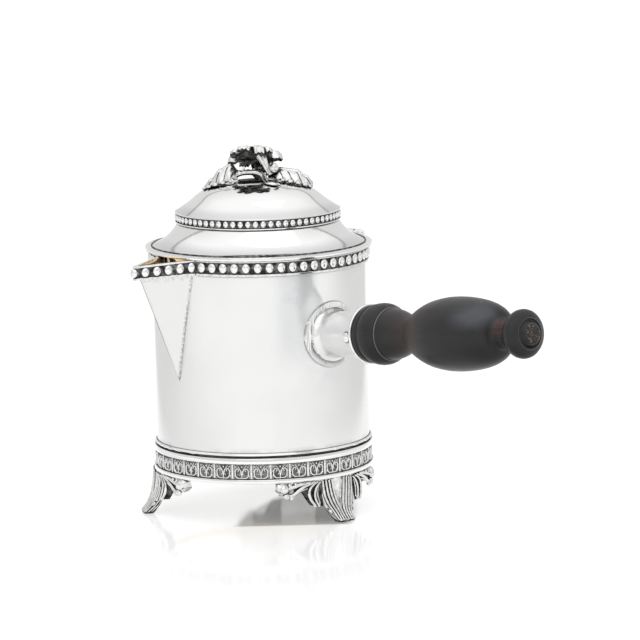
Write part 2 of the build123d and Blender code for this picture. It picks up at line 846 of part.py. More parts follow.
def cast_leaf(side, sections, notches):
    """Leaf along X, lofted through ovals of (reach, centre, half width, half height)."""
    with BuildPart() as made:
        for reach, lift, half_width, half_height in sections:
            with BuildSketch(Plane(origin=over_dome(side * reach, 0, lift), x_dir=(0, 1, 0), z_dir=(side, 0, 0))):
                Polygon(*oval(2 * half_width, 2 * half_height, 10), align=None)
        loft(ruled=True)
        for reach, half_width, size in notches:
            with Locations(over_dome(side * reach, half_width, 0), over_dome(side * reach, -half_width, 0)):
                Cylinder(size, leaf_reach, mode=Mode.SUBTRACT)
    return made.part


twig_end = over_dome(3.6, -14.5, -0.35)
twig_foot_dir = (0.55, -0.8, -0.22)
twig = cast_stick(
    [
        over_dome(-2 * arch_half_span, 0, 0.7),
        over_dome(-arch_half_span, 0, 2.9),
        over_dome(-arch_half_span * 0.2, -1, 3.2),
        over_dome(3.0, -4.5, 1.9),
        over_dome(3.2, -10, 0.4),
        twig_end,
    ],
    twig_radius,
    1.8,
)
stalk = cast_stick(
    [over_dome(arch_half_span * 1.6, -1, 1.6), over_dome(6.2, -5.5, 1.4), over_dome(4.4, -10, 0.5), twig_end],
    twig_radius * 0.8,
    1.8,
)

with BuildPart() as twig_foot:
    for along, width, height in ((-2.4, 2.0, 1.6), (0.6, 4.0, 3.6), (3.0, 3.7, 3.2), (6.2, 0.9, 1.2)):
        with BuildSketch(Plane(origin=twig_end, z_dir=twig_foot_dir).offset(along)):
            Polygon(*oval(width, height, 10), align=None)
    loft(ruled=True)
    add(dome_form.part, mode=Mode.SUBTRACT)

with BuildPart() as finial_branch_flat:
    add(twig_foot.part)
    add(twig)
    add(stalk)

flower_centre = over_dome(-0.8, 0, flower_height - flower_radius * sin(radians(flower_lean)))

with BuildPart() as flower_head:
    with BuildSketch(Plane.XZ):
        with BuildLine():
            Polyline((0, -0.4), (flower_radius * 0.55, -1.2), (flower_radius, -2.2))
            Polyline((flower_radius, -2.2), (flower_radius, -2.2 + petal_thickness * 0.8))
            ThreePointArc(
                (flower_radius, -2.2 + petal_thickness * 0.8),
                (flower_radius * 0.55, petal_thickness * 0.9),
                (0, petal_thickness * 1.2),
            )
            Line((0, petal_thickness * 1.2), (0, -0.4))
        make_face()
    revolve(axis=Axis.Z)
    with BuildSketch(Plane.XY.offset(-flower_radius)):
        with PolarLocations(flower_radius, flower_petals, start_angle=180 / flower_petals):
            Polygon((0.6, -1.3), (0.6, 1.3), (-3.6, 0), align=None)
    extrude(amount=2 * flower_radius, mode=Mode.SUBTRACT)

with BuildPart() as finial_flower_flat:
    with Locations(flower_centre):
        add(flower_head.part, rotation=(-flower_lean, 0, 0))
    add(cast_stick([over_dome(5.4, -2, 2.4), over_dome(3.4, -1.2, 6), flower_centre], stem_radius, 1.5))
    add(finial_branch_flat.part, mode=Mode.SUBTRACT)

with BuildPart() as finial_bud_flat:
    with Locations(over_dome(6.8, -2.6, 4.6)):
        Sphere(bud_radius)
    add(finial_flower_flat.part, mode=Mode.SUBTRACT)
    add(finial_branch_flat.part, mode=Mode.SUBTRACT)

with BuildPart() as finial_leaf_left_flat:
    add(
        cast_leaf(
            -1,
            [
                (leaf_reach, -5.0, 0.8, 0.6),
                (leaf_reach * 0.86, -1.2, 3.4, 2.2),
                (leaf_reach * 0.64, 1.9, 5.2, 3.4),
                (leaf_reach * 0.45, 1.6, 3.0, 2.8),
            ],
            [(leaf_reach * 0.92, 2.9, 1.1), (leaf_reach * 0.74, 4.9, 1.2), (leaf_reach * 0.55, 5.0, 1.1)],
        )
    )
    add(dome_form.part, mode=Mode.SUBTRACT)
    add(finial_branch_flat.part, mode=Mode.SUBTRACT)

with BuildPart() as finial_leaf_right_flat:
    add(
        cast_leaf(
            1,
            [
                (leaf_reach, -4.3, 1.2, 0.8),
                (leaf_reach * 0.85, -1.6, 4.4, 1.9),
                (leaf_reach * 0.6, 1.2, 5.2, 2.3),
                (leaf_reach * 0.34, 1.5, 2.2, 1.6),
            ],
            [(leaf_reach * 0.93, 3.4, 1.1), (leaf_reach * 0.76, 5.2, 1.2), (leaf_reach * 0.54, 5.5, 1.2)],
        )
    )
    add(dome_form.part, mode=Mode.SUBTRACT)
    add(finial_branch_flat.part, mode=Mode.SUBTRACT)
    add(finial_flower_flat.part, mode=Mode.SUBTRACT)
    add(finial_bud_flat.part, mode=Mode.SUBTRACT)

pieces = {
    "body_wall": body_wall_piece,
    "body_floor": body_floor,
    "spout": spout,
    "rim_moulding_left": rim_moulding_left,
    "rim_moulding_right": rim_moulding_right,
    "spout_moulding": spout_moulding,
    "top_reed": top_reed,
    "wide_fillet": wide_fillet,
    "frieze_band": frieze_band,
    "lower_fillet": lower_fillet,
    "handle_flange": handle_flange,
    "handle_socket": handle_socket_pinned,
    "socket_ring": socket_ring,
    "socket_pin": socket_pin,
    "handle_grip": handle_grip_pinned,
    "hinge_body_leaf": hinge_body_leaf,
    "hinge_pin": hinge_pin,
    "lid_flange": lid_flange,
    "lid_bezel": lid_bezel,
    "lid_cove": lid_cove,
    "lid_moulding": lid_moulding,
    "lid_dome": lid_dome,
    "hinge_lid_leaf": hinge_lid_leaf,
}
pieces.update(feet)

finial = {
    "finial_branch": finial_branch_flat,
    "finial_flower": finial_flower_flat,
    "finial_bud": finial_bud_flat,
    "finial_leaf_left": finial_leaf_left_flat,
    "finial_leaf_right": finial_leaf_right_flat,
}
for name, flat in finial.items():
    with BuildPart() as turned:
        add(flat.part, rotation=(0, 0, finial_turn))
    pieces[name] = turned

# Origin on the table, under the middle of the whole jug
boxes = [piece.part.bounding_box() for piece in pieces.values()]
middle_x = (min(box.min.X for box in boxes) + max(box.max.X for box in boxes)) / 2
middle_y = (min(box.min.Y for box in boxes) + max(box.max.Y for box in boxes)) / 2
to_origin = Location((-middle_x, -middle_y, 0))
print("jug axis in the part's frame:", round(-middle_x, 3), round(-middle_y, 3))
for name, piece in pieces.items():
    piece.part.label = name
    export_step(piece.part.moved(to_origin), f"parts/{name}.step")
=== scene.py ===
import bpy
from math import asin, atan2, cos, degrees, hypot, pi, radians, sin, tan
from mathutils import Matrix, Vector


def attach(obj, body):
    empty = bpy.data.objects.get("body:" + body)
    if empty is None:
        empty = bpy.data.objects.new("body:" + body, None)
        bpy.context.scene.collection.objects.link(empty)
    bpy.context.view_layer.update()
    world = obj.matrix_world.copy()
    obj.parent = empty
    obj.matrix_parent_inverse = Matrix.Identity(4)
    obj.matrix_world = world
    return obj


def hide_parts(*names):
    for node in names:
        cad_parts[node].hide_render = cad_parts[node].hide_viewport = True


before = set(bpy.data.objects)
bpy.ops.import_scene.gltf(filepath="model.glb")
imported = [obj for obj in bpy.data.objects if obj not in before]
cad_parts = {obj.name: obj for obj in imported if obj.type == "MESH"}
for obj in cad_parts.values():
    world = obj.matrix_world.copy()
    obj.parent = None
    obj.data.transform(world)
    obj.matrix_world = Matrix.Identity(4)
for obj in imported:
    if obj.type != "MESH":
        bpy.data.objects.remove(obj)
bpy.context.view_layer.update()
mm = 0.001

jug = {
    "axisX": -0.058421, "axisY": 0.00892,  # upright axis of the jug, in metres
    "radius": 45, "rim": 110.8,  # outside of the wall and its top, in mm
}
jugAxis = Matrix.Translation((jug["axisX"], jug["axisY"], 0))
print("frame loaded")


def deselect():
    if bpy.context.object and bpy.context.object.mode != "OBJECT":
        bpy.ops.object.mode_set(mode="OBJECT")
    bpy.ops.object.select_all(action="DESELECT")


def pick(*pieces):
    deselect()
    for piece in pieces:
        piece.select_set(True)
    bpy.context.view_layer.objects.active = pieces[0]


def selectAll():
    bpy.ops.mesh.select_all(action="SELECT")


def editAll(piece):
    pick(piece)
    bpy.ops.object.mode_set(mode="EDIT")
    selectAll()


def leaveEdit():
    bpy.ops.object.mode_set(mode="OBJECT")


def weld(distance=2e-6):
    selectAll()
    bpy.ops.mesh.remove_doubles(threshold=distance)


def faceOutwards():
    selectAll()
    bpy.ops.mesh.normals_make_consistent(inside=False)
    leaveEdit()


def settle(piece, matrix=None):
    if matrix is not None:
        piece.matrix_world = matrix @ piece.matrix_world
    pick(piece)
    bpy.ops.object.transform_apply(location=True, rotation=True, scale=True)
    return piece


def softEdges(piece, angle):
    pick(piece)
    bpy.ops.object.shade_smooth_by_angle(angle=radians(angle))
    return piece


def joined(name, pieces):
    pick(*pieces)
    if len(pieces) > 1:
        bpy.ops.object.join()
    piece = bpy.context.object
    piece.name = name
    piece.data.name = name
    return piece


def copied(piece, matrix):
    twin = piece.copy()
    twin.data = piece.data.copy()
    bpy.context.scene.collection.objects.link(twin)
    twin.matrix_world = matrix @ piece.matrix_world
    return twin


def framed(x, y, z, place):
    # matrix with the given axes, at a place in metres
    return Matrix.Translation(place) @ Matrix((x, y, z)).transposed().to_4x4()


def startPoint(name, place):
    # one vertex to extrude from, at a place in mm, left in edit mode
    deselect()
    bpy.ops.mesh.primitive_plane_add(size=mm)
    piece = bpy.context.object
    piece.name = name
    editAll(piece)
    bpy.ops.mesh.merge(type="CENTER")
    bpy.ops.transform.translate(value=place * mm)
    return piece


def pull(step):
    # extrudes what is selected by a step in metres
    bpy.ops.mesh.extrude_region_move(TRANSFORM_OT_translate={"value": step})


def turned(name, outline, steps, edge, axis=(0, 0, 1), sweep=360):
    # outline points are (x, z) in mm and are turned round the axis through the origin
    places = [Vector((x, 0, z)) for x, z in outline]
    piece = startPoint(name, places[0])
    for here, there in zip(places, places[1:]):
        pull((there - here) * mm)
    selectAll()
    bpy.ops.mesh.spin(steps=steps, angle=-radians(sweep), center=(0, 0, 0), axis=axis)
    weld()
    if sweep < 360:
        bpy.ops.mesh.select_all(action="DESELECT")
        bpy.ops.mesh.select_non_manifold()
        bpy.ops.mesh.fill_holes(sides=0)
    faceOutwards()
    return softEdges(piece, edge)


def tendril(name, points, radii, sides=2):
    # tapering tube through points given in mm
    deselect()
    bpy.ops.curve.primitive_nurbs_path_add()
    tube = bpy.context.object
    tube.name = name
    tube.data.splines.clear()
    line = tube.data.splines.new("NURBS")
    line.points.add(len(points) - 1)
    for spot, place, radius in zip(line.points, points, radii):
        spot.co = (*(Vector(place) * mm), 1)
        spot.radius = radius
    line.order_u = 3
    line.use_endpoint_u = True
    line.resolution_u = 4
    tube.data.bevel_depth = mm
    tube.data.bevel_resolution = sides
    tube.data.use_fill_caps = True
    pick(tube)
    bpy.ops.object.convert(target="MESH")
    return softEdges(bpy.context.object, 50)


def ball(name, place, size, segments=16, rings=10, turn=(0, 0, 0)):
    deselect()
    bpy.ops.mesh.primitive_uv_sphere_add(
        segments=segments, ring_count=rings, radius=1,
        location=Vector(place) * mm, rotation=turn, scale=Vector(size) * mm)
    piece = bpy.context.object
    piece.name = name
    editAll(piece)
    bpy.ops.mesh.faces_shade_smooth()
    leaveEdit()
    return settle(piece)


def mirrored(side, points):
    return [(side * x, y, z) for x, y, z in points]


def fromNode(node, name, edge=30):
    # a CAD node's mesh, welded so that it shades smoothly
    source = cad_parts[node]
    piece = source.copy()
    piece.data = source.data.copy()
    piece.name = name
    piece.data.name = name
    piece.parent = None
    for key in list(piece.keys()):
        del piece[key]
    bpy.context.scene.collection.objects.link(piece)
    editAll(piece)
    weld(1e-6)
    leaveEdit()
    return softEdges(piece, edge)


def coat(piece, *finishes):
    piece.data.materials.clear()
    for finish in finishes:
        piece.data.materials.append(finish)
    return piece


def coatBySide(piece, first, second, test):
    # faces that pass the test get the second finish
    coat(piece, first, second)
    for face in piece.data.polygons:
        face.material_index = 1 if test(face) else 0


def seat(piece, node, body):
    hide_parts(node)
    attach(piece, body)


class Wire:
    def __init__(self, paint, socket):
        self.paint, self.socket = paint, socket

    def run(self, operation, *others, clamp=False):
        settings = {"operation": operation, "use_clamp": clamp}
        values = dict(enumerate((self, *others)))
        return self.paint.node("ShaderNodeMath", settings, values)["Value"]

    def __add__(self, other):
        return self.run("ADD", other)

    def __sub__(self, other):
        return self.run("SUBTRACT", other)

    def __rsub__(self, other):
        return self * -1 + other

    def __mul__(self, other):
        return self.run("MULTIPLY", other)

    def __truediv__(self, other):
        return self.run("DIVIDE", other)

    def __pow__(self, other):
        return self.run("POWER", other)

    def __abs__(self):
        return self.run("ABSOLUTE")

    __radd__, __rmul__ = __add__, __mul__

    def most(self, other):
        return self.run("MAXIMUM", other)

    def clamped(self):
        return self.run("MULTIPLY", 1.0, clamp=True)

    def over(self, low, high):  # 0 below low, 1 above high
        values = {"Value": self, "From Min": low, "From Max": high}
        return self.paint.node("ShaderNodeMapRange", {"interpolation_type": "SMOOTHSTEP"}, values)["Result"]

    def near(self, place, width):  # 1 at the place, fading out over the width
        return (1 - abs(self - place) / width).clamped()


class Made:
    def __init__(self, paint, node):
        self.paint, self.box = paint, node

    def __getitem__(self, name):
        return Wire(self.paint, self.box.outputs[name])


class Paint:
    def __init__(self, name, sky=False):
        self.material = (bpy.data.worlds if sky else bpy.data.materials).new(name)
        self.material.use_nodes = True
        self.tree = self.material.node_tree
        self.tree.nodes.clear()

    def node(self, kind, settings=None, values=None):
        box = self.tree.nodes.new(kind)
        for key, value in (settings or {}).items():
            setattr(box, key, value)
        for key, value in (values or {}).items():
            socket = box.inputs[key]
            if isinstance(value, Wire):
                self.tree.links.new(value.socket, socket)
            elif isinstance(value, tuple) and len(value) == 3 and socket.type == "RGBA":
                socket.default_value = (*value, 1)
            else:
                socket.default_value = value
        return Made(self, box)

    def mix(self, share, first, second):
        box = self.node("ShaderNodeMix", {"data_type": "RGBA"}, {0: share, 6: first, 7: second})
        return Wire(self, box.box.outputs[2])

    def place(self):
        return self.node("ShaderNodeTexCoord")["Object"]

    def axes(self, vector):
        parts = self.node("ShaderNodeSeparateXYZ", None, {"Vector": vector})
        return parts["X"], parts["Y"], parts["Z"]

    def facing(self):
        return self.axes(self.node("ShaderNodeNewGeometry")["Normal"])

    def roundJug(self, place):
        # X and Y from the jug's axis, height, and distance from the axis
        x, y, z = self.axes(place)
        x, y = x - jug["axisX"], y - jug["axisY"]
        return x, y, z, (x ** 2 + y ** 2) ** 0.5

    def noise(self, vector, scale, detail=3, rough=0.5):
        values = {"Vector": vector, "Scale": scale, "Detail": detail, "Roughness": rough}
        return self.node("ShaderNodeTexNoise", None, values)["Fac"]

    def stretched(self, vector, scale):
        return self.node("ShaderNodeMapping", None, {"Vector": vector, "Scale": scale})["Vector"]

    def bump(self, height, strength, distance, normal=None):
        values = {"Height": height, "Strength": strength, "Distance": distance}
        if normal:
            values["Normal"] = normal
        return self.node("ShaderNodeBump", None, values)["Normal"]

    def hollow(self, reach):  # 0 in the open, 1 deep in a recess
        return 1 - self.node("ShaderNodeAmbientOcclusion", {"samples": 8}, {"Distance": reach})["AO"]

    def principled(self, colour, rough, normal, metal=1.0, specular=0.5):
        shader = self.node("ShaderNodeBsdfPrincipled", None, {
            "Base Color": colour, "Roughness": rough, "Normal": normal,
            "Metallic": metal, "Specular IOR Level": specular})
        self.node("ShaderNodeOutputMaterial", None, {"Surface": shader["BSDF"]})
        return self.material


def grey(tone):
    return (tone, tone, tone)


silver = {
    "colour": (0.875, 0.875, 0.87), "warm": (0.855, 0.85, 0.835), "oxide": (0.03, 0.029, 0.03),
    "gold": (0.9, 0.7, 0.38), "rough": 0.05,
    "coveTarnish": (113.0, 116.6), "domeTarnish": (124.0, 125.0, 127.4, 130.4),  # heights in mm
}


def silverBase(paint, grime=1.0, reach=1.1 * mm, wave=0.05):
    # hand-raised sheet: slow undulation, fine wiping scratches, oxide left in the corners
    place = paint.place()
    slow = paint.noise(place, 38, 2)
    smudge = paint.noise(place, 120, 4, 0.6)
    scratch = paint.noise(paint.stretched(place, (160, 160, 2400)), 1.0, 3)
    tint = paint.mix(slow.over(0.45, 0.75), silver["colour"], silver["warm"])
    dirt = (paint.hollow(reach).over(0.12, 0.62) * grime * (0.6 + smudge * 0.8)).clamped()
    tone = paint.mix(dirt, tint, silver["oxide"])
    rough = (silver["rough"] + smudge * 0.06 + dirt * 0.3).clamped()
    normal = paint.bump(slow, wave, 0.6 * mm)
    normal = paint.bump(scratch, 0.015, 0.2 * mm, normal)
    return place, tone, rough, normal


def polishedSilver():
    paint = Paint("polishedSilver")
    tone, rough, normal = silverBase(paint)[1:]
    return paint.principled(tone, rough, normal)


def wipedSilver():
    # hazy from wiping, with little oxide
    paint = Paint("wipedSilver")
    haze = 0.06
    tone, rough, normal = silverBase(paint, 0.35)[1:]
    tone = paint.mix(0.55, tone, (0.98, 0.98, 0.97))
    return paint.principled(tone, rough + haze, normal, metal=0.6)


def lidSilver():
    # polished, and a little grey with tarnish above the two joints of the lid
    paint = Paint("lidSilver")
    place, tone, rough, normal = silverBase(paint)
    z = paint.axes(place)[2] / mm
    start, full, fading, end = silver["domeTarnish"]
    cove = 1 - z.over(*silver["coveTarnish"])
    dome = z.over(start, full) * (1 - z.over(fading, end))
    tone = paint.mix(cove.most(dome) * 0.6, tone, (0.6, 0.6, 0.61))
    return paint.principled(tone, rough, normal)


def mouldingSilver():
    # greyer silver on the two fillets beside the pearls
    paint = Paint("mouldingSilver")
    place, tone, rough, normal = silverBase(paint, 1.4)
    grain = paint.noise(place, 700, 4, 0.7)
    tone = paint.mix(grain.over(0.3, 0.75) * 0.6, tone, (0.3, 0.3, 0.31))
    return paint.principled(tone, rough + grain * 0.1, normal)


def bodySilver():
    # silver outside and gilded inside, with tarnish above and below the handle plate, a painted pale hazy
    # reflection beside it, and painted shade on the sides away from the camera
    paint = Paint("bodySilver")
    place, tone, rough, normal = silverBase(paint, 1.0, 1.2 * mm, 0.2)
    x, y, z, away = paint.roundJug(place)
    cloud = paint.noise(place, 95, 4, 0.6)
    low = z.near(62 * mm, 11 * mm) * y.near(-4 * mm, 13 * mm)
    high = z.near(93 * mm, 16 * mm) * y.near(-16 * mm, 9 * mm)
    seam = z.near(30.4 * mm, 2.2 * mm) * cloud.over(0.42, 0.6)
    tarnish = ((low * 0.7).most(high) * cloud.over(0.35, 0.65)).clamped() * 0.4
    tone = paint.mix(tarnish, tone, (0.5, 0.53, 0.56))
    tone = paint.mix(seam * 0.45, tone, grey(0.4))
    # painted shade: the silver is greyed on the sides that turn away from the camera, so that the body's
    # edges read darker
    ahead = viewAhead()
    front = (x * ahead.x + y * ahead.y) / away
    tone = paint.mix((1 - front.over(0.0, 0.42)) * 0.5, tone, grey(0.68))
    inside = 1 - away.over(44.3 * mm, 44.7 * mm)
    tone = paint.mix(inside, tone, silver["gold"])
    # painted reflection: a pale bluish, rougher and less metallic patch beside the handle plate, standing in
    # for a hazy reflection on the body
    paintedReflection = y.near(-15.5 * mm, 11 * mm).over(0.0, 0.6) * x.over(0, 10 * mm)
    paintedReflection = paintedReflection * z.over(60 * mm, 78 * mm) * (1 - inside)
    tone = paint.mix(paintedReflection * 0.6, tone, (0.93, 0.95, 0.96))
    rough = rough + tarnish * 0.3 + paintedReflection * 0.12
    return paint.principled(tone, rough, normal, metal=0.7 - paintedReflection * 0.42)


def spoutSilver():
    # gilded on the faces that look back into the jug, with oxide along the soldered joints
    paint = Paint("spoutSilver")
    place, tone, rough, normal = silverBase(paint, 1.0, 1.2 * mm, 0.2)
    z, away = paint.roundJug(place)[2:]
    grain = paint.noise(place, 900, 4, 0.7)
    tone = paint.mix(0.35, tone, (0.76, 0.76, 0.75))
    joint = (1 - away.over(45.1 * mm, 46.4 * mm)) * grain.over(0.36, 0.6)
    under = z.near(103.8 * mm, 2.4 * mm) * grain.over(0.46, 0.66)
    tone = paint.mix((joint * 0.75).most(under * 0.4), tone, (0.16, 0.16, 0.17))
    blotch = paint.noise(place, 300, 4)
    gold = paint.mix(blotch.over(0.4, 0.7), silver["gold"], (0.55, 0.36, 0.17))
    tone = paint.mix(paint.facing()[1].over(0.1, 0.3), tone, gold)
    return paint.principled(tone, rough, normal, metal=0.85)


def gildedLining():
    # gilded above, plain silver below
    paint = Paint("gildedLining")
    blotch = paint.noise(paint.place(), 90, 4)
    tone = paint.mix(blotch.over(0.4, 0.75), silver["gold"], (0.7, 0.5, 0.26))
    tone = paint.mix(paint.facing()[2].over(-0.6, -0.4), silver["colour"], tone)
    return paint.principled(tone, 0.24 + blotch * 0.15, paint.bump(blotch, 0.1, 0.3 * mm))


def castSilver():
    # chased and oxidised: black in every recess, rubbed bright on the ridges
    paint = Paint("castSilver")
    place = paint.place()
    grain = paint.noise(place, 1500, 4, 0.65)
    pit = paint.noise(place, 520, 3)
    deep = paint.hollow(1.6 * mm)
    dirt = deep * (0.8 + grain * 0.7) + (grain - 0.5) * 0.25 - 0.08
    dirt = (dirt.over(0.12, 0.42) * 0.98).clamped()
    tint = paint.mix(pit.over(0.35, 0.7), silver["colour"], (0.7, 0.7, 0.69))
    tone = paint.mix(dirt, tint, silver["oxide"])
    rough = (0.12 + grain * 0.16 + dirt * 0.35).clamped()
    normal = paint.bump(pit, 0.5, 0.4 * mm)
    normal = paint.bump(grain, 0.3, 0.14 * mm, normal)
    return paint.principled(tone, rough, normal)


def oxidisedSilver(name="oxidisedSilver", dark=0.035, light=0.3):
    # blackened ground, rubbed a little lighter in patches
    paint = Paint(name)
    place = paint.place()
    grain = paint.noise(place, 1300, 4, 0.7)
    rub = (paint.noise(place, 500, 3) + grain * 0.5).over(0.62, 0.95)
    tone = paint.mix(rub, grey(dark), (light, light * 0.97, light * 0.95))
    return paint.principled(tone, 0.36 + grain * 0.25, paint.bump(grain, 0.6, 0.2 * mm))


view = {
    "azimuth": 48.606, "elevation": 8.803, "roll": 1.366,  # degrees
    "focal": 4202.8, "picture": 640,  # pixels
    "sensor": 36, "aim": 78 * mm, "right": 25.04 * mm, "up": 1.264 * mm, "away": 1772.95 * mm,
}


def viewAxes():
    a, e, r = (radians(view[k]) for k in ("azimuth", "elevation", "roll"))
    back = Vector((sin(a) * cos(e), -cos(a) * cos(e), sin(e)))
    level = Vector((cos(a), sin(a), 0))
    rise = back.cross(level)
    return level * cos(r) - rise * sin(r), rise * cos(r) + level * sin(r), back


def viewAhead():
    # level direction from the jug to the camera
    back = viewAxes()[2]
    return Vector((back.x, back.y, 0)).normalized()


def addCamera():
    right, up, back = viewAxes()
    place = Vector((jug["axisX"], jug["axisY"], view["aim"]))
    place += right * view["right"] + up * view["up"] + back * view["away"]
    camera = bpy.data.objects.new("camera", bpy.data.cameras.new("camera"))
    bpy.context.scene.collection.objects.link(camera)
    camera.matrix_world = framed(right, up, back, place)
    camera.data.sensor_width = view["sensor"]
    camera.data.lens = view["focal"] / view["picture"] * view["sensor"]
    camera.data.clip_end = 50
    bpy.context.scene.camera = camera
    bpy.context.scene.view_settings.view_transform = "Standard"


studio = {
    "floorSize": 14.0, "floorTone": 0.62, "lift": 0.45,
    "tent": 1.1, "room": 0.78, "edgeLine": 0.4, "topPower": 0.6, "keyPower": 0.9,
    # painted shadow on the table between the feet: places from the jug's axis and sizes in metres, and its
    # lean
    "shadeAside": 0.0115, "shadeFront": 0.047, "shadeWidth": 0.025, "shadeDepth": 0.085, "shadeLean": 0.14,
}


def floorShade(across, behind):
    depth = behind + studio["shadeFront"]
    aside = across - depth * studio["shadeLean"] - studio["shadeAside"]
    oval = ((aside / studio["shadeWidth"]) ** 2 + (depth / studio["shadeDepth"]) ** 2) ** 0.5
    return (1 - oval.over(0.84, 1.04)) * depth.over(0, 3 * mm)


def floorFinish():
    # seamless white table; it falls off to both sides, outside the picture, to give the silver grey edges
    paint = Paint("paleFloor")
    place = paint.place()
    x, y = paint.roundJug(place)[:2]
    ahead = viewAhead()
    behind = x * -ahead.x + y * -ahead.y
    across = x * -ahead.y + y * ahead.x
    edge = abs(across - view["right"]) - (behind + view["away"]) * 0.0761
    falloff = edge.over(-0.01, 0.1) * behind.over(-0.35, 0.25)
    # painted shadow: the table is greyed and its glow dimmed in a slanted oval between the feet
    shade = floorShade(across, behind)
    ray = paint.node("ShaderNodeLightPath")
    seen = ray["Is Camera Ray"].most(ray["Is Glossy Ray"]).most(ray["Is Transmission Ray"])
    base = studio["floorTone"]
    tone = paint.mix(paint.noise(place, 700, 2), grey(base), grey(base + 0.01))
    tone = paint.mix(falloff, tone, grey(base * 0.62))
    tone = paint.mix(shade, tone, grey(base * 0.76))
    glow = paint.mix(seen * (1 - falloff * 0.4) * (1 - shade * 0.72), grey(0.0), grey(studio["lift"]))
    shader = paint.node("ShaderNodeBsdfPrincipled", None, {
        "Base Color": tone, "Roughness": 0.09, "Emission Color": glow, "Emission Strength": 1.0})
    paint.node("ShaderNodeOutputMaterial", None, {"Surface": shader["BSDF"]})
    return paint.material


def studioSky():
    # a light tent over the jug, with the dark line of its seam all round, in a grey room
    paint = Paint("studioSky", sky=True)
    ahead = viewAhead()
    x, y, z = paint.axes(paint.node("ShaderNodeTexCoord")["Generated"])
    toCamera = x * ahead.x + y * ahead.y
    aside = abs(x * -ahead.y + y * ahead.x)
    arc = z.run("ARCTAN2", toCamera) * (180 / pi)
    edge = ((abs(arc - 86) / 64) ** 2.6 + (aside / 0.83) ** 2.6) ** (1 / 2.6)
    core = 1 - (abs(arc - 66) / 90).most(aside).over(0.42, 0.95)
    tone = paint.mix(core, grey(studio["room"] + 0.1), grey(studio["tent"]))
    tone = paint.mix(1 - edge.over(0.95, 1.0), grey(studio["room"]), tone)
    tone = paint.mix(edge.near(1.0, 0.032), tone, grey(studio["edgeLine"]))
    light = paint.node("ShaderNodeBackground", None, {"Color": tone, "Strength": 1.0})
    paint.node("ShaderNodeOutputWorld", None, {"Surface": light["Background"]})
    return paint.material


def addPanel(name, place, width, height, power):
    lamp = bpy.data.objects.new(name, bpy.data.lights.new(name, "AREA"))
    bpy.context.scene.collection.objects.link(lamp)
    lamp.data.shape = "RECTANGLE"
    lamp.data.size, lamp.data.size_y, lamp.data.energy = width, height, power
    lamp.location = place
    aim = Vector((0, 0, 0.06)) - place
    lamp.rotation_euler = aim.to_track_quat("-Z", "Y").to_euler()


def addStudio():
    deselect()
    bpy.ops.mesh.primitive_plane_add(size=studio["floorSize"])
    floor = bpy.context.object
    floor.name = "floor"
    floor.data.materials.append(floorFinish())
    bpy.context.scene.world = studioSky()
    ahead = viewAhead()
    right = viewAxes()[0]
    aside = Vector((right.x, right.y, 0)).normalized()
    overhead = aside * 0.12 + ahead * 0.28 + Vector((0, 0, 1.15))
    front = ahead * 1.5 + aside * -0.25 + Vector((0, 0, 0.75))
    addPanel("overheadPanel", overhead, 1.1, 0.9, studio["topPower"])
    addPanel("frontPanel", front, 1.2, 1.0, studio["keyPower"])


addCamera()
addStudio()
print("camera and studio ready")


lips = {
    "start": 45, "length": 23.6, "low": 104.3, "height": 6.5, "fade": 20,
    "bottomDrop": 0.6, "topDrop": 1.4,
}


def droopLips(piece):
    # the lips of the spout fall a little towards the nose
    away = jugAxis.inverted()
    for point in piece.data.vertices:
        spot = away @ point.co / mm
        forward = min(1, max(0, (-spot.y - lips["start"]) / lips["length"]))
        share = (spot.z - lips["low"]) / lips["height"]
        if share > 0:
            drop = lips["bottomDrop"] + (lips["topDrop"] - lips["bottomDrop"]) * min(1, share)
        else:
            drop = lips["bottomDrop"] * max(0, 1 + share * lips["height"] / lips["fade"])
        point.co.z -= drop * forward * mm
    return piece


def dressSheet(polished, domed):
    wiped = wipedSilver()
    sheets = {
        "body_floor": ("jugFloor", "jug", gildedLining(), 30),
        "spout": ("spoutSheet", "jug", spoutSilver(), 20),
        "top_reed": ("baseReed", "jug", polished, 50),
        "handle_flange": ("handlePlate", "jug", wiped, 30),
        "handle_socket": ("handleTube", "jug", wiped, 30),
        "hinge_body_leaf": ("hingePlate", "jug", polished, 30),
        "hinge_pin": ("hingeWire", "jug", polished, 30),
        "lid_bezel": ("lidBezel", "lid", polished, 30),
        "lid_dome": ("lidDome", "lid", domed, 30),
        "hinge_lid_leaf": ("hingeStrap", "lid", polished, 30),
    }
    for node, (name, body, finish, edge) in sheets.items():
        piece = fromNode(node, name, edge)
        if node == "spout":
            droopLips(piece)
        seat(coat(piece, finish), node, body)


pin = {
    "x": 8.46, "y": -2.95, "z": 80.16, "radius": 2.1, "crown": 0.85,
    "dirtWidth": 0.4, "dirtDepth": 0.55, "dirtThickness": 0.5,
}


def drivePin(polished, dirt):
    # round-headed pin through tube and tenon, with dirt round its head
    x, y, z, radius, wide = pin["x"], pin["y"], pin["z"], pin["radius"], pin["radius"] + pin["dirtWidth"]
    shank = fromNode("socket_pin", "pinShank")
    head = ball("pinHead", (x, y, z), (radius, pin["crown"], radius), 28, 14)
    rim = ball("pinDirt", (x, y + pin["dirtDepth"], z), (wide, pin["dirtThickness"], wide), 28, 8)
    parts = [coat(shank, polished), coat(head, polished), coat(rim, dirt)]
    seat(joined("tubePin", parts), "socket_pin", "jug")


wall = {"inner": 44.1, "bottom": 17.7, "nose": 68.6, "setBack": 2.23, "drop": 51.9, "slant": 23.78}


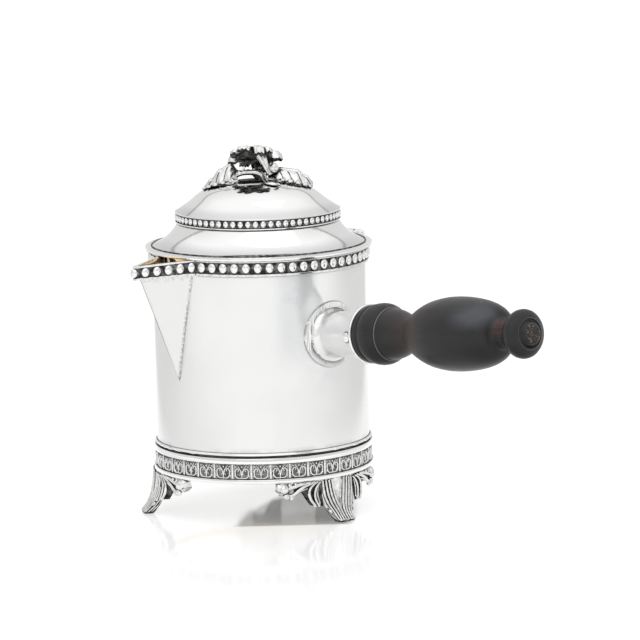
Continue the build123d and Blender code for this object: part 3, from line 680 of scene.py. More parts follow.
def pouringCutter():
    # the spout's own inner shape: a flat triangle drawn down to a point on the wall
    wide = wall["nose"] * tan(radians(wall["slant"]))
    cutter = startPoint("pouringCutter", Vector((0, wall["setBack"] - wall["nose"], jug["rim"])))
    pull(Vector((wide, wall["nose"], 0)) * mm)
    pull(Vector((-2 * wide, 0, 0)) * mm)
    selectAll()
    bpy.ops.mesh.edge_face_add()
    pull((0, 0, -wall["drop"] * mm))
    point = Vector((0, wall["setBack"] - jug["radius"], jug["rim"] - wall["drop"])) * mm
    bpy.ops.transform.resize(value=(0.001, 0.001, 1), center_override=point)
    faceOutwards()
    return cutter


def drawWall():
    # the drawn cylinder, with its pouring opening
    inner, outer, bottom, rim = wall["inner"], jug["radius"], wall["bottom"], jug["rim"]
    outline = [(inner, bottom), (outer, bottom), (outer, rim), (inner, rim), (inner, bottom)]
    piece = turned("jugWall", outline, 144, 30)
    cutter = pouringCutter()
    cut = piece.modifiers.new("pouringOpening", "BOOLEAN")
    cut.object, cut.operation, cut.solver = cutter, "DIFFERENCE", "EXACT"
    pick(piece)
    bpy.ops.object.modifier_apply(modifier=cut.name)
    bpy.data.objects.remove(cutter)
    settle(softEdges(piece, 30), jugAxis)
    seat(coat(piece, bodySilver()), "body_wall", "jug")


def dressLidEdge(polished, domed, oxide):
    # rolled edge of the lid, and the blackened solder line where the cove stands on it
    rim, top = jug["rim"], 112.4
    outline = [(43.6, rim), (47.5, rim), (47.75, 110.95), (47.79, 111.3), (47.79, 111.9),
               (47.65, 112.25), (47.3, top), (45.2, top), (44.8, top), (43.6, top), (43.6, rim)]
    edge = settle(turned("lidEdge", outline, 160, 35), jugAxis)
    seat(coat(edge, polished), "lid_flange", "lid")
    cove = coat(fromNode("lid_cove", "lidCove"), domed)
    line = [(44.6, top), (45.25, top), (45.22, 112.75), (44.9, 112.85), (44.6, top)]
    solder = settle(turned("coveSolder", line, 160, 60), jugAxis)
    seat(joined("lidCove", [cove, coat(solder, oxide)]), "lid_cove", "lid")


def baseRings(polished):
    radius = jug["radius"]
    wide = [(radius, 26.0), (46.05, 26.0), (46.2, 26.15), (46.2, 28.15), (46.1, 28.4), (45.8, 28.5),
            (radius, 28.5), (radius, 26.0)]
    low = [(radius, 17.7), (46.3, 17.7), (46.45, 17.8), (46.5, 18.0), (46.5, 19.3), (46.4, 19.5),
           (46.1, 19.6), (radius, 19.6), (radius, 17.7)]
    for node, name, outline in (("wide_fillet", "baseFillet", wide), ("lower_fillet", "footFillet", low)):
        ring = settle(turned(name, outline, 180, 30), jugAxis)
        seat(coat(ring, polished), node, "jug")


polished, domed, oxide = polishedSilver(), lidSilver(), oxidisedSilver()
dressSheet(polished, domed)
baseRings(polished)
drivePin(polished, oxide)
dressLidEdge(polished, domed, oxide)
drawWall()
print("sheet silver dressed")


pearls = {
    "count": 25, "size": (1.8, 2.25, 1.2), "level": 107.75, "bottom": 104.3, "stand": 45.65,
    "spoutHalf": 11.7645, "hingeHalf": 9.9,  # half widths of the gaps at the spout and the hinge
    "spoutFirst": 1.1, "spoutPitch": 4.95, "spoutEach": 5, "spoutRun": 25.0,
    "lidCount": 68, "lidSize": (1.25, 1.7, 0.85), "lidBottom": 122.0, "lidTop": 126.6, "lidFace": 34.2,
}


def rimFrame(angle, radius, height):
    # pearl axes: X along the rim, Y up, Z outwards
    a = radians(angle)
    along, up, out = Vector((-sin(a), cos(a), 0)), Vector((0, 0, 1)), Vector((cos(a), sin(a), 0))
    return framed(along, up, out, out * radius * mm + up * height * mm)


def inChannel(face, low, high):
    return low < face.center.z / mm < high


def strungPearls(name, channel, master, frames):
    # the channel and its pearls as one piece, moved to the jug's axis
    beads = [settle(copied(master, place)) for place in frames]
    return settle(joined(name, [channel] + beads), jugAxis)


def rimPearls(master, moulding, oxide):
    radius, low, top = jug["radius"], pearls["bottom"], jug["rim"]
    outline = [(radius, low), (46.15, low), (46.3, low + 0.2), (46.3, low + 0.75), (46.1, low + 0.95),
               (45.6, low + 1.25), (45.6, top - 1.0), (45.75, top - 0.8), (46.2, top - 0.75),
               (46.3, top - 0.6), (46.3, top), (radius, top), (radius, low)]
    spoutHalf = degrees(asin(pearls["spoutHalf"] / radius))
    hingeHalf = degrees(asin(pearls["hingeHalf"] / radius))
    arc = 180 - spoutHalf - hingeHalf
    step = arc / pearls["count"]
    for node, name, start in (("rim_moulding_right", "rimPearlsRight", spoutHalf - 90),
                              ("rim_moulding_left", "rimPearlsLeft", hingeHalf + 90)):
        channel = turned(name + "Channel", outline, 72, 35, sweep=arc)
        settle(channel, Matrix.Rotation(radians(start), 4, "Z"))
        coatBySide(channel, moulding, oxide, lambda face: inChannel(face, low + 1.0, top - 0.8))
        frames = [rimFrame(start + step * (k + 0.5), pearls["stand"], pearls["level"])
                  for k in range(pearls["count"])]
        seat(strungPearls(name, channel, master, frames), node, "jug")


def spoutChannel(slant, low, top):
    # the section is drawn at one lip, run forward, turned round the nose and run back
    section = [(0, low), (0.6, low), (0.7, low + 0.15), (0.7, low + 0.75), (0.5, low + 1.0),
               (0.25, low + 1.2), (0.25, top - 0.95), (0.5, top - 0.8), (0.7, top - 0.7),
               (0.7, top - 0.1), (0.62, top), (0, top)]
    nose = Vector((0, 1 / sin(slant) - wall["nose"], 0))
    out, along = Vector((-cos(slant), -sin(slant), 0)), Vector((-sin(slant), cos(slant), 0))
    back = Vector((sin(slant), cos(slant), 0))
    start = nose + out + along * pearls["spoutRun"]
    places = [start + out * x + Vector((0, 0, z)) for x, z in section]
    channel = startPoint("spoutChannel", places[0])
    for here, there in zip(places, places[1:]):
        pull((there - here) * mm)
    selectAll()
    pull(-along * pearls["spoutRun"] * mm)
    bpy.ops.mesh.spin(steps=14, angle=2 * slant - pi, center=nose * mm, axis=(0, 0, 1))
    pull(back * pearls["spoutRun"] * mm)
    weld()
    faceOutwards()
    return softEdges(channel, 35)


def spoutPearls(master, moulding, oxide):
    # the same moulding, bent round the nose
    slant, low, top = radians(wall["slant"]), pearls["bottom"], jug["rim"]
    channel = spoutChannel(slant, low, top)
    coatBySide(channel, moulding, oxide, lambda face: inChannel(face, low + 0.95, top - 0.8))
    tip = -wall["nose"] - 0.25 / sin(slant)
    flatter, prouder = Matrix.Scale(0.86, 4, (0, 0, 1)), Matrix.Scale(1.15, 4, (0, 0, 1))
    frames = []
    for side in (-1, 1):
        out, along = Vector((side * cos(slant), -sin(slant), 0)), Vector((sin(slant), side * cos(slant), 0))
        for k in range(pearls["spoutEach"]):
            run = pearls["spoutPitch"] * (k + 1) + pearls["spoutFirst"]
            spot = Vector((side * run * sin(slant), tip + run * cos(slant), pearls["level"]))
            frames.append(framed(along, Vector((0, 0, 1)), out, spot * mm) @ flatter)
    frames.append(rimFrame(-90, wall["nose"] - 0.9, pearls["level"]) @ prouder)
    seat(droopLips(strungPearls("spoutPearls", channel, master, frames)), "spout_moulding", "jug")


def lidPearls(polished, oxide):
    low, top, face, count = (pearls[key] for key in ("lidBottom", "lidTop", "lidFace", "lidCount"))
    outline = [(33.2, low), (34.8, low), (34.9, low + 0.15), (34.9, low + 0.5), (34.75, low + 0.6),
               (face, low + 0.75), (face, top - 0.75), (34.75, top - 0.6), (34.9, top - 0.5),
               (34.9, top - 0.15), (34.8, top), (33.2, top), (33.2, low)]
    channel = turned("lidPearlsChannel", outline, 136, 35)
    coatBySide(channel, polished, oxide, lambda side: inChannel(side, low + 0.6, top - 0.6)
               and hypot(side.center.x, side.center.y) > 34 * mm)
    master = coat(ball("lidPearl", (0, 0, 0), pearls["lidSize"], 12, 8), polished)
    frames = [rimFrame(360 / count * k, face, (low + top) / 2) for k in range(count)]
    seat(strungPearls("lidPearls", channel, master, frames), "lid_moulding", "lid")
    bpy.data.objects.remove(master)


moulding = mouldingSilver()
pearl = coat(ball("pearl", (0, 0, 0), pearls["size"]), polished)
rimPearls(pearl, moulding, oxide)
lidPearls(polished, oxide)
spoutPearls(pearl, moulding, oxide)
bpy.data.objects.remove(pearl)
print("pearl mouldings set")


grip = {"root": (45, 0, 77.9), "tilt": 5.9, "steps": 96}
gripMatrix = jugAxis @ Matrix.Translation(Vector(grip["root"]) * mm)
gripMatrix = gripMatrix @ Matrix.Rotation(radians(-grip["tilt"]), 4, "Y")

wood = {  # places along the grip, in mm
    "neck": 56.5, "shine": 96, "redNeck": 106, "end": 117.9,
    "lines": ((28.2, 0.2, 1.0), (38.15, 0.26, 1.0), (29.0, 0.14, 0.6)),  # place, width and strength
}


def ebonisedWood():
    # near-black satin wood, brown where hands have worn the necks, pale on the turned edges, with painted
    # shade underneath and a painted highlight on the barrel
    paint = Paint("ebonisedWood")
    local = paint.node("ShaderNodeMapping", {"vector_type": "TEXTURE"}, {
        "Vector": paint.place(), "Location": tuple(gripMatrix.translation),
        "Rotation": (0, radians(-grip["tilt"]), 0)})["Vector"]
    along, side, up = paint.axes(local)
    away = (side ** 2 + up ** 2) ** 0.5
    grain = paint.noise(paint.stretched(local, (60, 900, 900)), 1.0, 5, 0.6)
    cloud = paint.noise(local, 130, 4)
    tone = paint.mix(grain, (0.024, 0.023, 0.025), (0.044, 0.042, 0.044))
    # painted shade: the faces turned downwards are made darker
    shadedUnderside = 1 - paint.facing()[2].over(-0.7, 0.1)
    tone = paint.mix(shadedUnderside * 0.85, tone, (0.006, 0.006, 0.007))
    # painted highlight: a pale bluish patch on the upper front of the barrel
    shine = along.near(wood["shine"] * mm, 14 * mm) * up.near(8 * mm, 6.5 * mm)
    shine = shine * (1 - side.over(-4 * mm, 2 * mm))
    tone = paint.mix(shine.over(0.0, 0.8) * 0.8, tone, (0.1, 0.107, 0.118))
    soft = along.near(wood["neck"] * mm, 16 * mm) * (0.45 + cloud * 0.5)
    tone = paint.mix(soft.clamped(), tone, (0.085, 0.062, 0.054))
    red = along.near(wood["redNeck"] * mm, 4 * mm).over(0.0, 0.4) * (0.2 + cloud)
    red = (red * grain.over(0.3, 0.6) * up.over(-3 * mm, 3 * mm)).clamped()
    tone = paint.mix(red * 0.85, tone, (0.13, 0.06, 0.05))
    dots = paint.node("ShaderNodeTexVoronoi", None, {"Vector": local, "Scale": 190})["Distance"]
    bright = away.near(6.3 * mm, 0.22 * mm) * along.over(116.6 * mm, 117.4 * mm) * 0.7
    for place, width, strength in wood["lines"]:
        bright = bright + along.near(place * mm, width * mm) * strength
    bright = (1 - dots.over(0.03, 0.075)) * cloud.over(0.5, 0.58) + bright * (0.4 + grain * 0.9)
    tone = paint.mix(bright.clamped() * 0.8, tone, (0.4, 0.37, 0.35))
    end = along.over(wood["end"] * mm, 118.6 * mm) * (1 - away.over(3.2 * mm, 4.6 * mm))
    chip = paint.noise(local, 900, 3, 0.7)
    tone = paint.mix((end * chip.over(0.45, 0.6)).clamped(), tone, (0.1, 0.075, 0.06))
    tone = paint.mix((end * chip.over(0.6, 0.68)).clamped(), tone, (0.4, 0.37, 0.33))
    rough = (0.26 + cloud * 0.14 + soft * 0.15 + end * 0.2).clamped()
    normal = paint.bump(grain, 0.12, 0.2 * mm)
    normal = paint.bump(chip * end, 0.8, 0.8 * mm, normal)
    return paint.principled(tone, rough, normal, metal=0.0, specular=0.24)


def turnGrip():
    outline = [
        # tenon, shoulder and the two rings at the tube's mouth
        (4.2, 0), (4.2, 8.5), (24.2, 10.3), (25.2, 10.3), (25.2, 11.5), (25.5, 11.85), (26.9, 11.95),
        (27.7, 12.0), (27.95, 11.85), (28.1, 11.5), (28.25, 11.8), (28.45, 11.9), (28.65, 11.65),
        (28.85, 11.95), (29.6, 12.35), (31.0, 12.6), (32.7, 12.75), (34.4, 12.6), (35.8, 12.15),
        (36.8, 11.55), (37.3, 11.1), (37.55, 10.7), (37.8, 10.95), (38.05, 11.1), (38.3, 10.95),
        (38.5, 10.6), (38.8, 10.72), (39.1, 10.6),
        # neck and swelling
        (40.2, 10.4), (42.0, 10.0), (44.0, 9.35), (46.0, 8.5), (48.0, 7.6), (49.3, 7.1), (50.2, 6.95),
        (51.2, 7.3), (53.0, 8.4), (55.4, 9.75), (58.3, 11.15), (60.8, 12.2), (63.1, 13.0), (65.8, 13.75),
        (69.8, 14.5), (74.3, 15.0), (78.8, 15.1), (83.6, 14.9), (88.2, 14.4), (92.0, 13.75),
        (95.2, 12.9), (97.8, 11.85), (99.8, 10.5), (101.0, 9.1), (101.6, 7.7),
        # second neck, bead and end boss
        (102.0, 6.6), (102.6, 6.1), (104.0, 6.0), (106.0, 6.05), (108.0, 6.2), (109.3, 6.5),
        (110.0, 7.2), (110.8, 8.2), (111.9, 9.1), (113.2, 9.7), (114.6, 9.9), (115.8, 9.65),
        (116.8, 8.95), (117.7, 7.6), (118.1, 6.75), (118.3, 6.4), (118.1, 6.05), (117.75, 5.85),
        (117.7, 5.5), (118.1, 5.0), (118.9, 4.65), (119.5, 4.35), (119.85, 3.8), (119.95, 2.6),
        (119.8, 1.2), (119.7, 0),
    ]
    piece = settle(turned("woodenGrip", outline, grip["steps"], 40, axis=(1, 0, 0)), gripMatrix)
    seat(coat(piece, ebonisedWood()), "handle_grip", "jug")


def bendTubeRing(polished):
    # bright wire round the mouth of the tube
    outline = [(23.9, 11.0), (23.9, 11.9), (24.15, 12.35), (24.6, 12.5), (25.0, 12.35), (25.2, 11.9),
               (25.2, 11.0), (23.9, 11.0)]
    ring = settle(turned("tubeRing", outline, grip["steps"], 50, axis=(1, 0, 0)), gripMatrix)
    seat(coat(ring, polished), "socket_ring", "jug")


turnGrip()
bendTubeRing(polished)
print("grip turned")


def wrapped(piece, angle, level, radius):
    # lays a flat piece (X along, Y up, Z outwards) round the jug, whose wall has radius(height), in mm
    for point in piece.data.vertices:
        across, rise, out = point.co / mm
        base = radius(rise + level)
        turn = radians(angle) + across / base
        point.co = Vector(((base + out) * cos(turn), (base + out) * sin(turn), rise + level)) * mm
    return piece


frieze = {"panels": 36, "face": 45.5, "bottom": 19.6, "height": 6.4, "bar": 0.95, "start": -2.4}


def friezePanel():
    # a forked leaf between two scrolls
    scroll = [(0.15, -2.55, 0), (1.3, -2.8, 0.05), (2.55, -2.15, 0.1), (2.95, -0.5, 0.1),
              (2.55, 1.15, 0.1), (1.6, 1.5, 0.1), (1.15, 0.75, 0.1), (1.65, 0.2, 0.1)]
    scrollRadii = [0.28, 0.36, 0.42, 0.42, 0.4, 0.36, 0.32, 0.3]
    leaf = [(0.1, -1.7, 0.05), (0.35, 0.1, 0.1), (0.95, 1.5, 0.1), (1.9, 2.7, 0.05)]
    lobes = ((3.0, -1.75, 0.3, 0.6, 30), (3.05, 0.35, 0.3, 0.6, -15),
             (2.5, 2.1, 0.32, 0.62, 35), (0.8, -1.0, 0.26, 0.55, -35))
    parts = [
        tendril("stem", [(0, -2.9, 0.05), (0, -1.0, 0.1), (0, 0.7, 0.05)], [0.32, 0.3, 0.2], 1),
        ball("topBud", (0, 2.1, 0.05), (0.4, 0.62, 0.34), 8, 6),
    ]
    for side in (-1, 1):
        parts.append(tendril("scroll", mirrored(side, scroll), scrollRadii, 1))
        parts.append(tendril("leafStem", mirrored(side, leaf), [0.26, 0.36, 0.36, 0.18], 1))
        for x, y, width, height, turn in lobes:
            turn = (0, 0, side * radians(-turn))
            parts.append(ball("lobe", (side * x, y, 0.08), (width, height, 0.32), 8, 6, turn))
    return joined("panel", parts)


def strip(x, z, size):
    # upright strip between two panels
    bpy.ops.mesh.primitive_cube_add(size=mm, location=(x * mm, 0, z * mm), scale=size)
    return settle(bpy.context.object)


def friezeBar():
    # a bevelled bar with a fine line on each side
    deselect()
    bar = strip(0, 0.16, (frieze["bar"], frieze["height"] - 0.3, 0.5))
    editAll(bar)
    bpy.ops.mesh.bevel(offset=0.12 * mm, segments=2, affect="EDGES")
    leaveEdit()
    softEdges(bar, 40)
    lines = [strip(x, 0.06, (0.16, frieze["height"] - 0.7, 0.22)) for x in (-0.92, 0.92)]
    return joined("bar", [bar] + lines)


def stampFrieze(cast, ground):
    low, high, face = frieze["bottom"], frieze["bottom"] + frieze["height"], frieze["face"]
    outline = [(jug["radius"], low), (face, low), (face, high), (jug["radius"], high), (jug["radius"], low)]
    parts = [coat(turned("strip", outline, 144, 30), ground)]
    panel, bar = coat(friezePanel(), cast), coat(friezeBar(), cast)
    pitch = 360 / frieze["panels"]
    for k in range(frieze["panels"]):
        for master, turn in ((panel, pitch * k), (bar, pitch * (k + 0.5))):
            twin = copied(master, Matrix.Identity(4))
            parts.append(wrapped(twin, turn + frieze["start"], (low + high) / 2, lambda height: face))
    bpy.data.objects.remove(panel)
    bpy.data.objects.remove(bar)
    seat(settle(joined("leafFrieze", parts), jugAxis), "frieze_band", "jug")


cast = castSilver()
stampFrieze(cast, oxidisedSilver("friezeGround", 0.1, 0.36))
print("frieze stamped")


foot = {
    "nodes": {"foot_handle": "footHandle", "foot_hinge": "footHinge", "foot_spout": "footSpout"},
    # height and radius of the foot's outer face
    "line": [(0.0, 52.45), (0.9, 52.3), (3.0, 50.2), (5.0, 48.9), (7.5, 47.8), (10.6, 47.1),
             (14.0, 46.75), (18.0, 46.5)],
    "radius": 46.6,  # where widths across the foot are measured
    "toe": 7, "slim": 0.2,  # height of the part that draws together, and by how much
    "wing": 19.5, "wingTop": 17, "wingLevel": 15, "wingShare": 0.7,
}


def footLine(height):
    line = foot["line"]
    for (low, near), (high, far) in zip(line, line[1:]):
        if height <= high:
            return near + (far - near) * max(0, height - low) / (high - low)
    return line[-1][1]


def footRelief(cast):
    # one side's ribs: points across and up, in mm, their radii, and how far they stand out
    ribs = (
        # the two limbs, from the band down to the toe
        ([(3.3, 17.5), (2.9, 13), (1.9, 8.6), (0.95, 5.2), (0.7, 2.6), (0.85, 0.75)],
         [0.5, 0.6, 0.62, 0.62, 0.6, 0.5], 0.1),
        ([(4.8, 17.4), (4.4, 13), (3.4, 8.6), (2.3, 5.2), (2.0, 2.6), (2.45, 0.7)],
         [0.5, 0.62, 0.66, 0.62, 0.6, 0.5], 0.15),
        ([(6.3, 17.3), (6.0, 13), (5.0, 8.6), (3.8, 5.3), (3.3, 2.7), (3.9, 0.65)],
         [0.5, 0.62, 0.66, 0.62, 0.6, 0.5], 0.1),
        ([(7.7, 17.2), (7.7, 13), (6.7, 8.9), (5.7, 6.3), (4.7, 3.4), (4.9, 1.0)],
         [0.45, 0.6, 0.66, 0.66, 0.6, 0.45], -0.05),
        ([(8.3, 12.0), (8.1, 9.4), (7.4, 7.2), (7.7, 6.6)], [0.3, 0.5, 0.55, 0.5], -0.2),
        # the flank of the toe
        ([(5.2, 0.6), (5.9, 2.2), (6.4, 4.2), (7.1, 5.7), (8.4, 7.2)], [0.45, 0.5, 0.5, 0.5, 0.4], -1.1),
        ([(5.1, 0.6), (5.7, 2.2), (6.2, 4.2), (6.9, 5.7), (8.2, 7.2)], [0.45, 0.5, 0.5, 0.5, 0.4], -2.5),
        # the C-shaped leaf beside each limb
        ([(8.9, 17.0), (10.7, 15.7), (12.0, 12.6), (12.0, 9.9), (11.1, 7.9)],
         [0.4, 0.5, 0.58, 0.6, 0.5], 0.1),
        ([(10.2, 17.2), (13.0, 16.1), (14.7, 13.4), (14.3, 10.6), (13.1, 8.3), (12.4, 7.9)],
         [0.4, 0.52, 0.62, 0.66, 0.6, 0.5], 0.2),
        ([(9.8, 15.6), (10.7, 13.2), (10.6, 10.6), (10.0, 8.2)], [0.2, 0.35, 0.4, 0.35], -0.15),
        # the wing that runs along the band to its curled end
        ([(11.5, 17.3), (15.3, 16.4), (18.4, 14.8), (20.8, 12.9), (22.6, 12.1), (24.0, 12.9)],
         [0.5, 0.7, 0.85, 0.8, 0.7, 0.6], 0.15),
        ([(13.6, 17.3), (17.8, 16.9), (21.3, 15.8), (24.0, 15.2)], [0.5, 0.75, 0.8, 0.8], 0.2),
        ([(15.0, 14.9), (17.4, 14.4), (19.6, 13.5), (21.2, 12.2)], [0.3, 0.45, 0.5, 0.5], 0.1),
    )
    curls = ((25.2, 15.3, 2.2), (24.4, 12.2, 1.5), (22.3, 11.6, 1.15), (22.6, 16.6, 1.0), (20.0, 16.8, 0.9))
    tips = ((7.5, 6.7), (6.5, 4.6), (10.8, 7.7), (12.6, 7.7))
    parts = []
    for side in (-1, 1):
        for points, radii, out in ribs:
            parts.append(tendril("rib", [(side * x, y, out) for x, y in points], radii))
        for x, y, size in curls:
            parts.append(ball("curl", (side * x, y, 0.1), (size, size, size * 0.85), 14, 10))
        for x, y in tips:
            parts.append(ball("tip", (side * x, y, 0.0), (0.75, 0.95, 0.6), 10, 8))
    return wrapped(coat(joined("footRelief", parts), cast), 0, 0, footLine)


def acrossFoot(spot):
    return abs(atan2(spot.y, spot.x)) * foot["radius"]


def slimToe(piece, upright):
    # the limbs draw together towards the toe
    away = upright.inverted()
    for point in piece.data.vertices:
        spot = away @ point.co
        height = spot.z / mm
        if height < foot["toe"]:
            spot.y *= 1 - foot["slim"] * (1 - max(0, height) / foot["toe"]) ** 1.3
            point.co = upright @ spot


def thinWings(body, upright):
    # the plain wings behind the curled ends are made slimmer, so that the curls show alone
    away = upright.inverted()
    for point in body.data.vertices:
        spot = away @ point.co
        height = spot.z / mm
        if foot["toe"] <= height < foot["wingTop"] and acrossFoot(spot) > foot["wing"]:
            spot.z = (foot["wingLevel"] + (height - foot["wingLevel"]) * foot["wingShare"]) * mm
            point.co = upright @ spot


def inGround(spot, facing):
    # the gaps between the leaves beside the limbs, and the two sides of the toe
    turn = atan2(spot.y, spot.x)
    between = 8.2 < acrossFoot(spot) < 21.5 and spot.z < 17.5 * mm
    return between or spot.z < 9 * mm and abs(facing.y * cos(turn) - facing.x * sin(turn)) > 0.55


def castFeet(cast, ground):
    relief = footRelief(cast)
    for k, (node, name) in enumerate(foot["nodes"].items()):  # a third of a turn apart
        body = fromNode(node, name + "Body", 35)
        upright = jugAxis @ Matrix.Rotation(radians(120 * k), 4, "Z")
        away = upright.inverted()
        slimToe(body, upright)
        thinWings(body, upright)
        coatBySide(body, cast, ground, lambda face: inGround(away @ face.center, away.to_3x3() @ face.normal))
        leaves = settle(copied(relief, upright))
        slimToe(leaves, upright)
        seat(joined(name, [body, leaves]), node, "jug")
    bpy.data.objects.remove(relief)


castFeet(cast, oxidisedSilver("footGround", 0.02, 0.2))
print("feet cast")


finial = {
    "turn": 48, "top": 139.3,  # round the jug's axis in degrees, and the height of the dome's top
    "crown": 19.7, "crownFall": 3.05, "slope": 0.6,  # the dome: radius and fall of its crown, slope beyond
    "leafWall": 0.7,
}
leaves = {
    "finialLeafLeft": {
        "node": "finial_leaf_left", "side": -1, "reach": (8.0, 22.0), "half": 6.2, "droop": 7.0, "lobes": 4,
        "heights": [(0, 3.0), (0.2, 6.0), (0.5, 3.8), (0.8, -0.4), (1, -3.2)]},
    "finialLeafRight": {
        "node": "finial_leaf_right", "side": 1, "reach": (4.8, 23.4), "half": 6.2, "droop": 5.2, "lobes": 5,
        "heights": [(0, 1.8), (0.28, 3.7), (0.62, 2.9), (0.85, 0.3), (1, -2.6)]},
}
flower = {
    "radius": 10.3, "lean": 28, "roll": 4, "place": (-1.1, 0.3, 10.1),
    "petals": 9, "phase": 14, "lowPetal": 7,
}


def domeDrop(reach):
    # height of the dome's surface below its top, in mm
    inside = min(reach, finial["crown"])
    outside = max(0, reach - finial["crown"])
    return -finial["crownFall"] * (inside / finial["crown"]) ** 2 - finial["slope"] * outside


def bladeHeight(stops, share):
    for (a, low), (b, high) in zip(stops, stops[1:]):
        if share <= b:
            blend = (share - a) / (b - a)
            return low + (high - low) * blend * blend * (3 - 2 * blend)
    return stops[-1][1]


def shapeBlade(blade, leaf):
    # bends a flat grid along its midrib, with lobed edges and raised veins; returns the points between veins
    deep = set()
    near, far = leaf["reach"]
    for point in blade.data.vertices:
        share, across = (point.co.x + 1) / 2, point.co.y
        edge = abs(across)
        body = sin(pi * min(1, share * 0.94 + 0.05)) ** 0.55
        lobe = 1 - 0.2 * abs(sin(pi * leaf["lobes"] * share)) ** 0.6 * edge ** 3
        width = leaf["half"] * body * lobe
        row = leaf["lobes"] * share - edge * 0.9
        vein = abs(sin(pi * row))
        lift = bladeHeight(leaf["heights"], share)
        lift -= leaf["droop"] * edge ** 1.5 * body * (1 if across < 0 else 0.45)
        lift += 0.6 * (1 - min(1, edge * 9)) + 0.75 * (vein ** 0.5 - 0.6) * (0.3 + edge) * body
        lift += 0.1 * sin(2 * pi * 5 * row)
        along = near + (far - near) * share
        lift = max(lift, domeDrop(hypot(along, width)) + 0.55 + 0.35 * vein)
        point.co = Vector((leaf["side"] * along, across * width, lift)) * mm
        if vein < 0.34 and 0.12 < edge < 0.9:
            deep.add(point.index)
    return deep


def castBlade(name, leaf, cast, oxide):
    deselect()
    bpy.ops.mesh.primitive_grid_add(x_subdivisions=84, y_subdivisions=36, size=2)
    blade = bpy.context.object
    blade.name = name
    deep = shapeBlade(blade, leaf)
    coatBySide(blade, cast, oxide, lambda face: len(deep.intersection(face.vertices)) > 2)
    editAll(blade)
    faceOutwards()
    thick = blade.modifiers.new("castWall", "SOLIDIFY")
    thick.thickness, thick.offset = finial["leafWall"] * mm, 0
    pick(blade)
    bpy.ops.object.modifier_apply(modifier=thick.name)
    bpy.ops.object.shade_smooth()
    # painted shade: the faces turned downwards get the dark oxide finish
    for face in blade.data.polygons:
        if face.normal.z < -0.25:
            face.material_index = 1
    return blade


def castLeaf(name, leaf, cast, oxide):
    # the blade, with curled lobes along its lower edge
    parts, side = [castBlade(name, leaf, cast, oxide)], leaf["side"]
    for x, y, size in ((11.0, -6.0, 0.8), (14.2, -6.1, 1.0), (17.4, -5.4, 1.05), (20.2, -4.2, 1.0),
                       (22.0, -2.2, 0.9)):
        spot = (side * x, y, domeDrop(hypot(x, y)) + 1.1)
        curl = ball("lobe", spot, (size * 1.3, size * 0.9, size * 0.8), 12, 8, (0, 0, side * 0.5))
        parts.append(coat(curl, cast))
    return joined(name, parts)


def bendPetals(head):
    # the turned disc gets its petals; they droop least at the front, apart from the low one
    count, radius, phase = flower["petals"], flower["radius"], flower["phase"]
    for point in head.data.vertices:
        x, y, z = point.co / mm
        away, angle = hypot(x, y), atan2(y, x)
        petal = (degrees(angle) + phase) / 360 * count + count
        which, petal = int(petal), petal % 1
        gap = abs(petal - 0.5) * 2  # 0 on a petal's middle, 1 between two petals
        share = away / radius
        size = 1 + 0.12 * sin(angle * 2 + 0.9) + 0.1 * sin(angle * 5 + 0.4)
        if which == flower["lowPetal"]:
            hang = 0.85
        elif sin(2 * pi * (which + 0.5) / count - radians(phase)) > -0.1:
            hang = 0.78 + 0.1 * sin(which * 2.3)
        else:
            hang = 0.5
        z = 1.2 + (z - 1.2) * (1 - (1 - hang) * min(1, max(0, share * 4 - 2.9)))
        flutes = 0.04 * abs(sin(petal * pi * 5)) * share ** 6
        away *= 1 + (size - 1) * share ** 2 - 0.4 * gap ** 4 * share ** 3 - flutes
        z += (0.5 * (1 - gap ** 2) + 0.3 * sin(petal * pi * 10) * share) * share ** 2
        z += 1.3 * gap ** 4 * share ** 6 + 0.4 * sin(angle * 3 + 0.6) * share ** 3
        point.co = Vector((away * cos(angle), away * sin(angle), z)) * mm


def isUnder(face):
    # painted shade: the underside of the flower gets the dark oxide finish
    x, y = face.center.x / mm, face.center.y / mm
    away = max(0.01, hypot(x, y))
    outward = (face.normal.x * x + face.normal.y * y) / away
    return outward * 0.8 + face.normal.z < -0.1 and away < flower["radius"] * 1.15


def castFlower(cast, oxide):
    r = flower["radius"]
    outline = [(0, 1.6), (1.6, 1.8), (3.0, 1.3), (5.5, 1.5), (7.6, 1.2), (9.2, 0.1), (10.2, -1.5),
               (r, -3.2), (r + 0.1, -3.9), (r - 0.5, -3.9), (9.7, -2.1), (8.6, -0.7), (7.0, 0.1),
               (4.5, 0.2), (2.0, -0.3), (0, -0.8)]
    head = turned("flower", outline, 200, 60)
    bendPetals(head)
    coatBySide(head, cast, oxide, isUnder)
    place = Matrix.Translation(Vector(flower["place"]) * mm)
    place = place @ Matrix.Rotation(radians(-flower["lean"]), 4, "X")
    settle(head, place @ Matrix.Rotation(radians(-flower["roll"]), 4, "Y"))
    stem = tendril("stem", [(5.6, -2.6, 2.2), (5.0, -2.8, 3.8), (3.9, -2.6, 5.8), (3.1, -1.6, 8.0),
                            (2.2, -0.4, 9.6)], [1.7, 1.5, 1.55, 1.8, 2.4], 4)
    rib = tendril("stemRib", [(4.9, -4.1, 2.6), (4.2, -4.2, 4.4), (3.3, -3.9, 6.0), (2.6, -3.4, 8.2)],
                  [0.45, 0.5, 0.5, 0.5], 1)
    return joined("finialFlower", [head, coat(stem, cast), coat(rib, cast)])


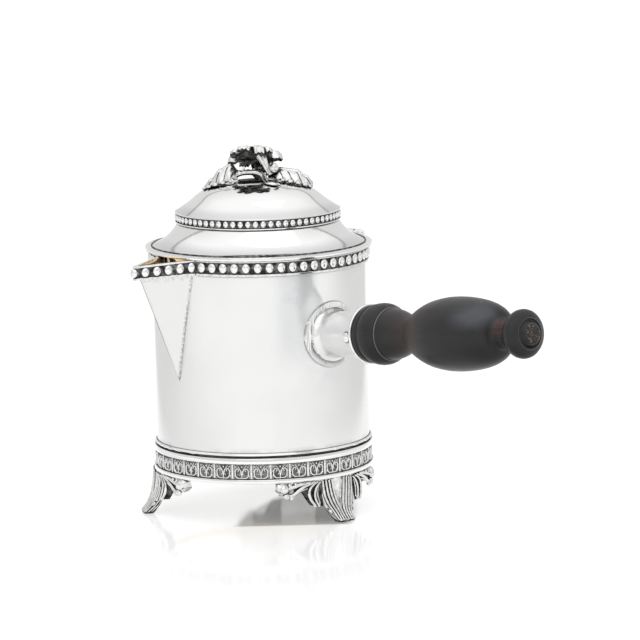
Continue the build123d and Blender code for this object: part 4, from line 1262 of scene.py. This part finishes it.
def castTwig(cast, oxide):
    # rough stalk on the left, smooth arch that curls down to a teardrop foot, and a second stalk beside it
    stalk = tendril("stalk", [(-10.2, -1.2, 0.6), (-8.4, -1.6, 2.2), (-6.0, -1.8, 2.9), (-3.2, -2.0, 3.0),
                              (-0.6, -2.4, 3.0), (1.8, -3.4, 2.4), (3.2, -5.2, 1.0), (3.9, -7.6, -0.2),
                              (4.6, -10.0, -0.8)], [1.2, 1.25, 1.2, 1.2, 1.35, 1.4, 1.3, 1.2, 1.2], 3)
    # painted shade: the stalk's downward faces get the dark oxide finish
    coatBySide(stalk, cast, oxide, lambda face: face.normal.z < -0.35)
    bright = [
        tendril("spur", [(-6.8, -1.6, 2.6), (-5.6, -2.2, 4.2), (-4.9, -2.3, 5.2)], [0.6, 0.55, 0.3]),
        ball("teardrop", (6.2, -11.6, -0.9), (3.0, 1.7, 0.9), 16, 10, (0, radians(8), radians(-24))),
    ]
    for x, y, z, size in ((-9.3, -2.2, 1.6, 0.8), (-8.1, -2.5, 2.6, 0.75), (-7.2, -1.7, 3.5, 0.8),
                          (-6.3, -2.6, 3.0, 0.65), (-5.4, -1.8, 3.9, 0.75), (-4.4, -2.7, 3.5, 0.6),
                          (-3.6, -2.0, 4.0, 0.55), (-8.8, -0.8, 2.8, 0.8)):
        bright.append(ball("knot", (x, y, z), (size, size * 0.8, size * 0.75), 10, 8))
    dark = [
        tendril("farStalk", [(-1.6, 0.6, 2.6), (0.6, -0.6, 1.3), (2.0, -2.0, 0.4), (3.4, -2.6, 0.2)],
                [1.2, 1.9, 2.0, 1.9], 3),
        # painted shadow: a thin dark plate lying on the dome under the twig
        ball("shadowPlate", (-1.6, -3.0, -0.05), (6.6, 4.4, 0.4), 24, 8),
    ]
    for x, y, z, size in ((0.6, -1.0, 4.6, 1.3), (2.2, -1.2, 4.7, 1.4), (3.5, -1.8, 3.9, 1.3)):
        dark.append(ball("neck", (x, y, z), (size, size, size), 12, 8))
    parts = [stalk] + [coat(part, cast) for part in bright] + [coat(part, oxide) for part in dark]
    return joined("finialTwig", parts)


def castFinial(cast, oxide):
    place = jugAxis @ Matrix.Rotation(radians(finial["turn"]), 4, "Z")
    place = place @ Matrix.Translation((0, 0, finial["top"] * mm))
    pieces = {leaf["node"]: castLeaf(name, leaf, cast, oxide) for name, leaf in leaves.items()}
    pieces["finial_flower"] = castFlower(cast, oxide)
    pieces["finial_branch"] = castTwig(cast, oxide)
    pieces["finial_bud"] = coat(ball("finialBud", (7.2, -3.4, 4.8), (2.1, 2.1, 2.1), 24, 16), cast)
    for node, piece in pieces.items():
        seat(settle(piece, place), node, "lid")


castFinial(cast, oxide)
print("finial cast")
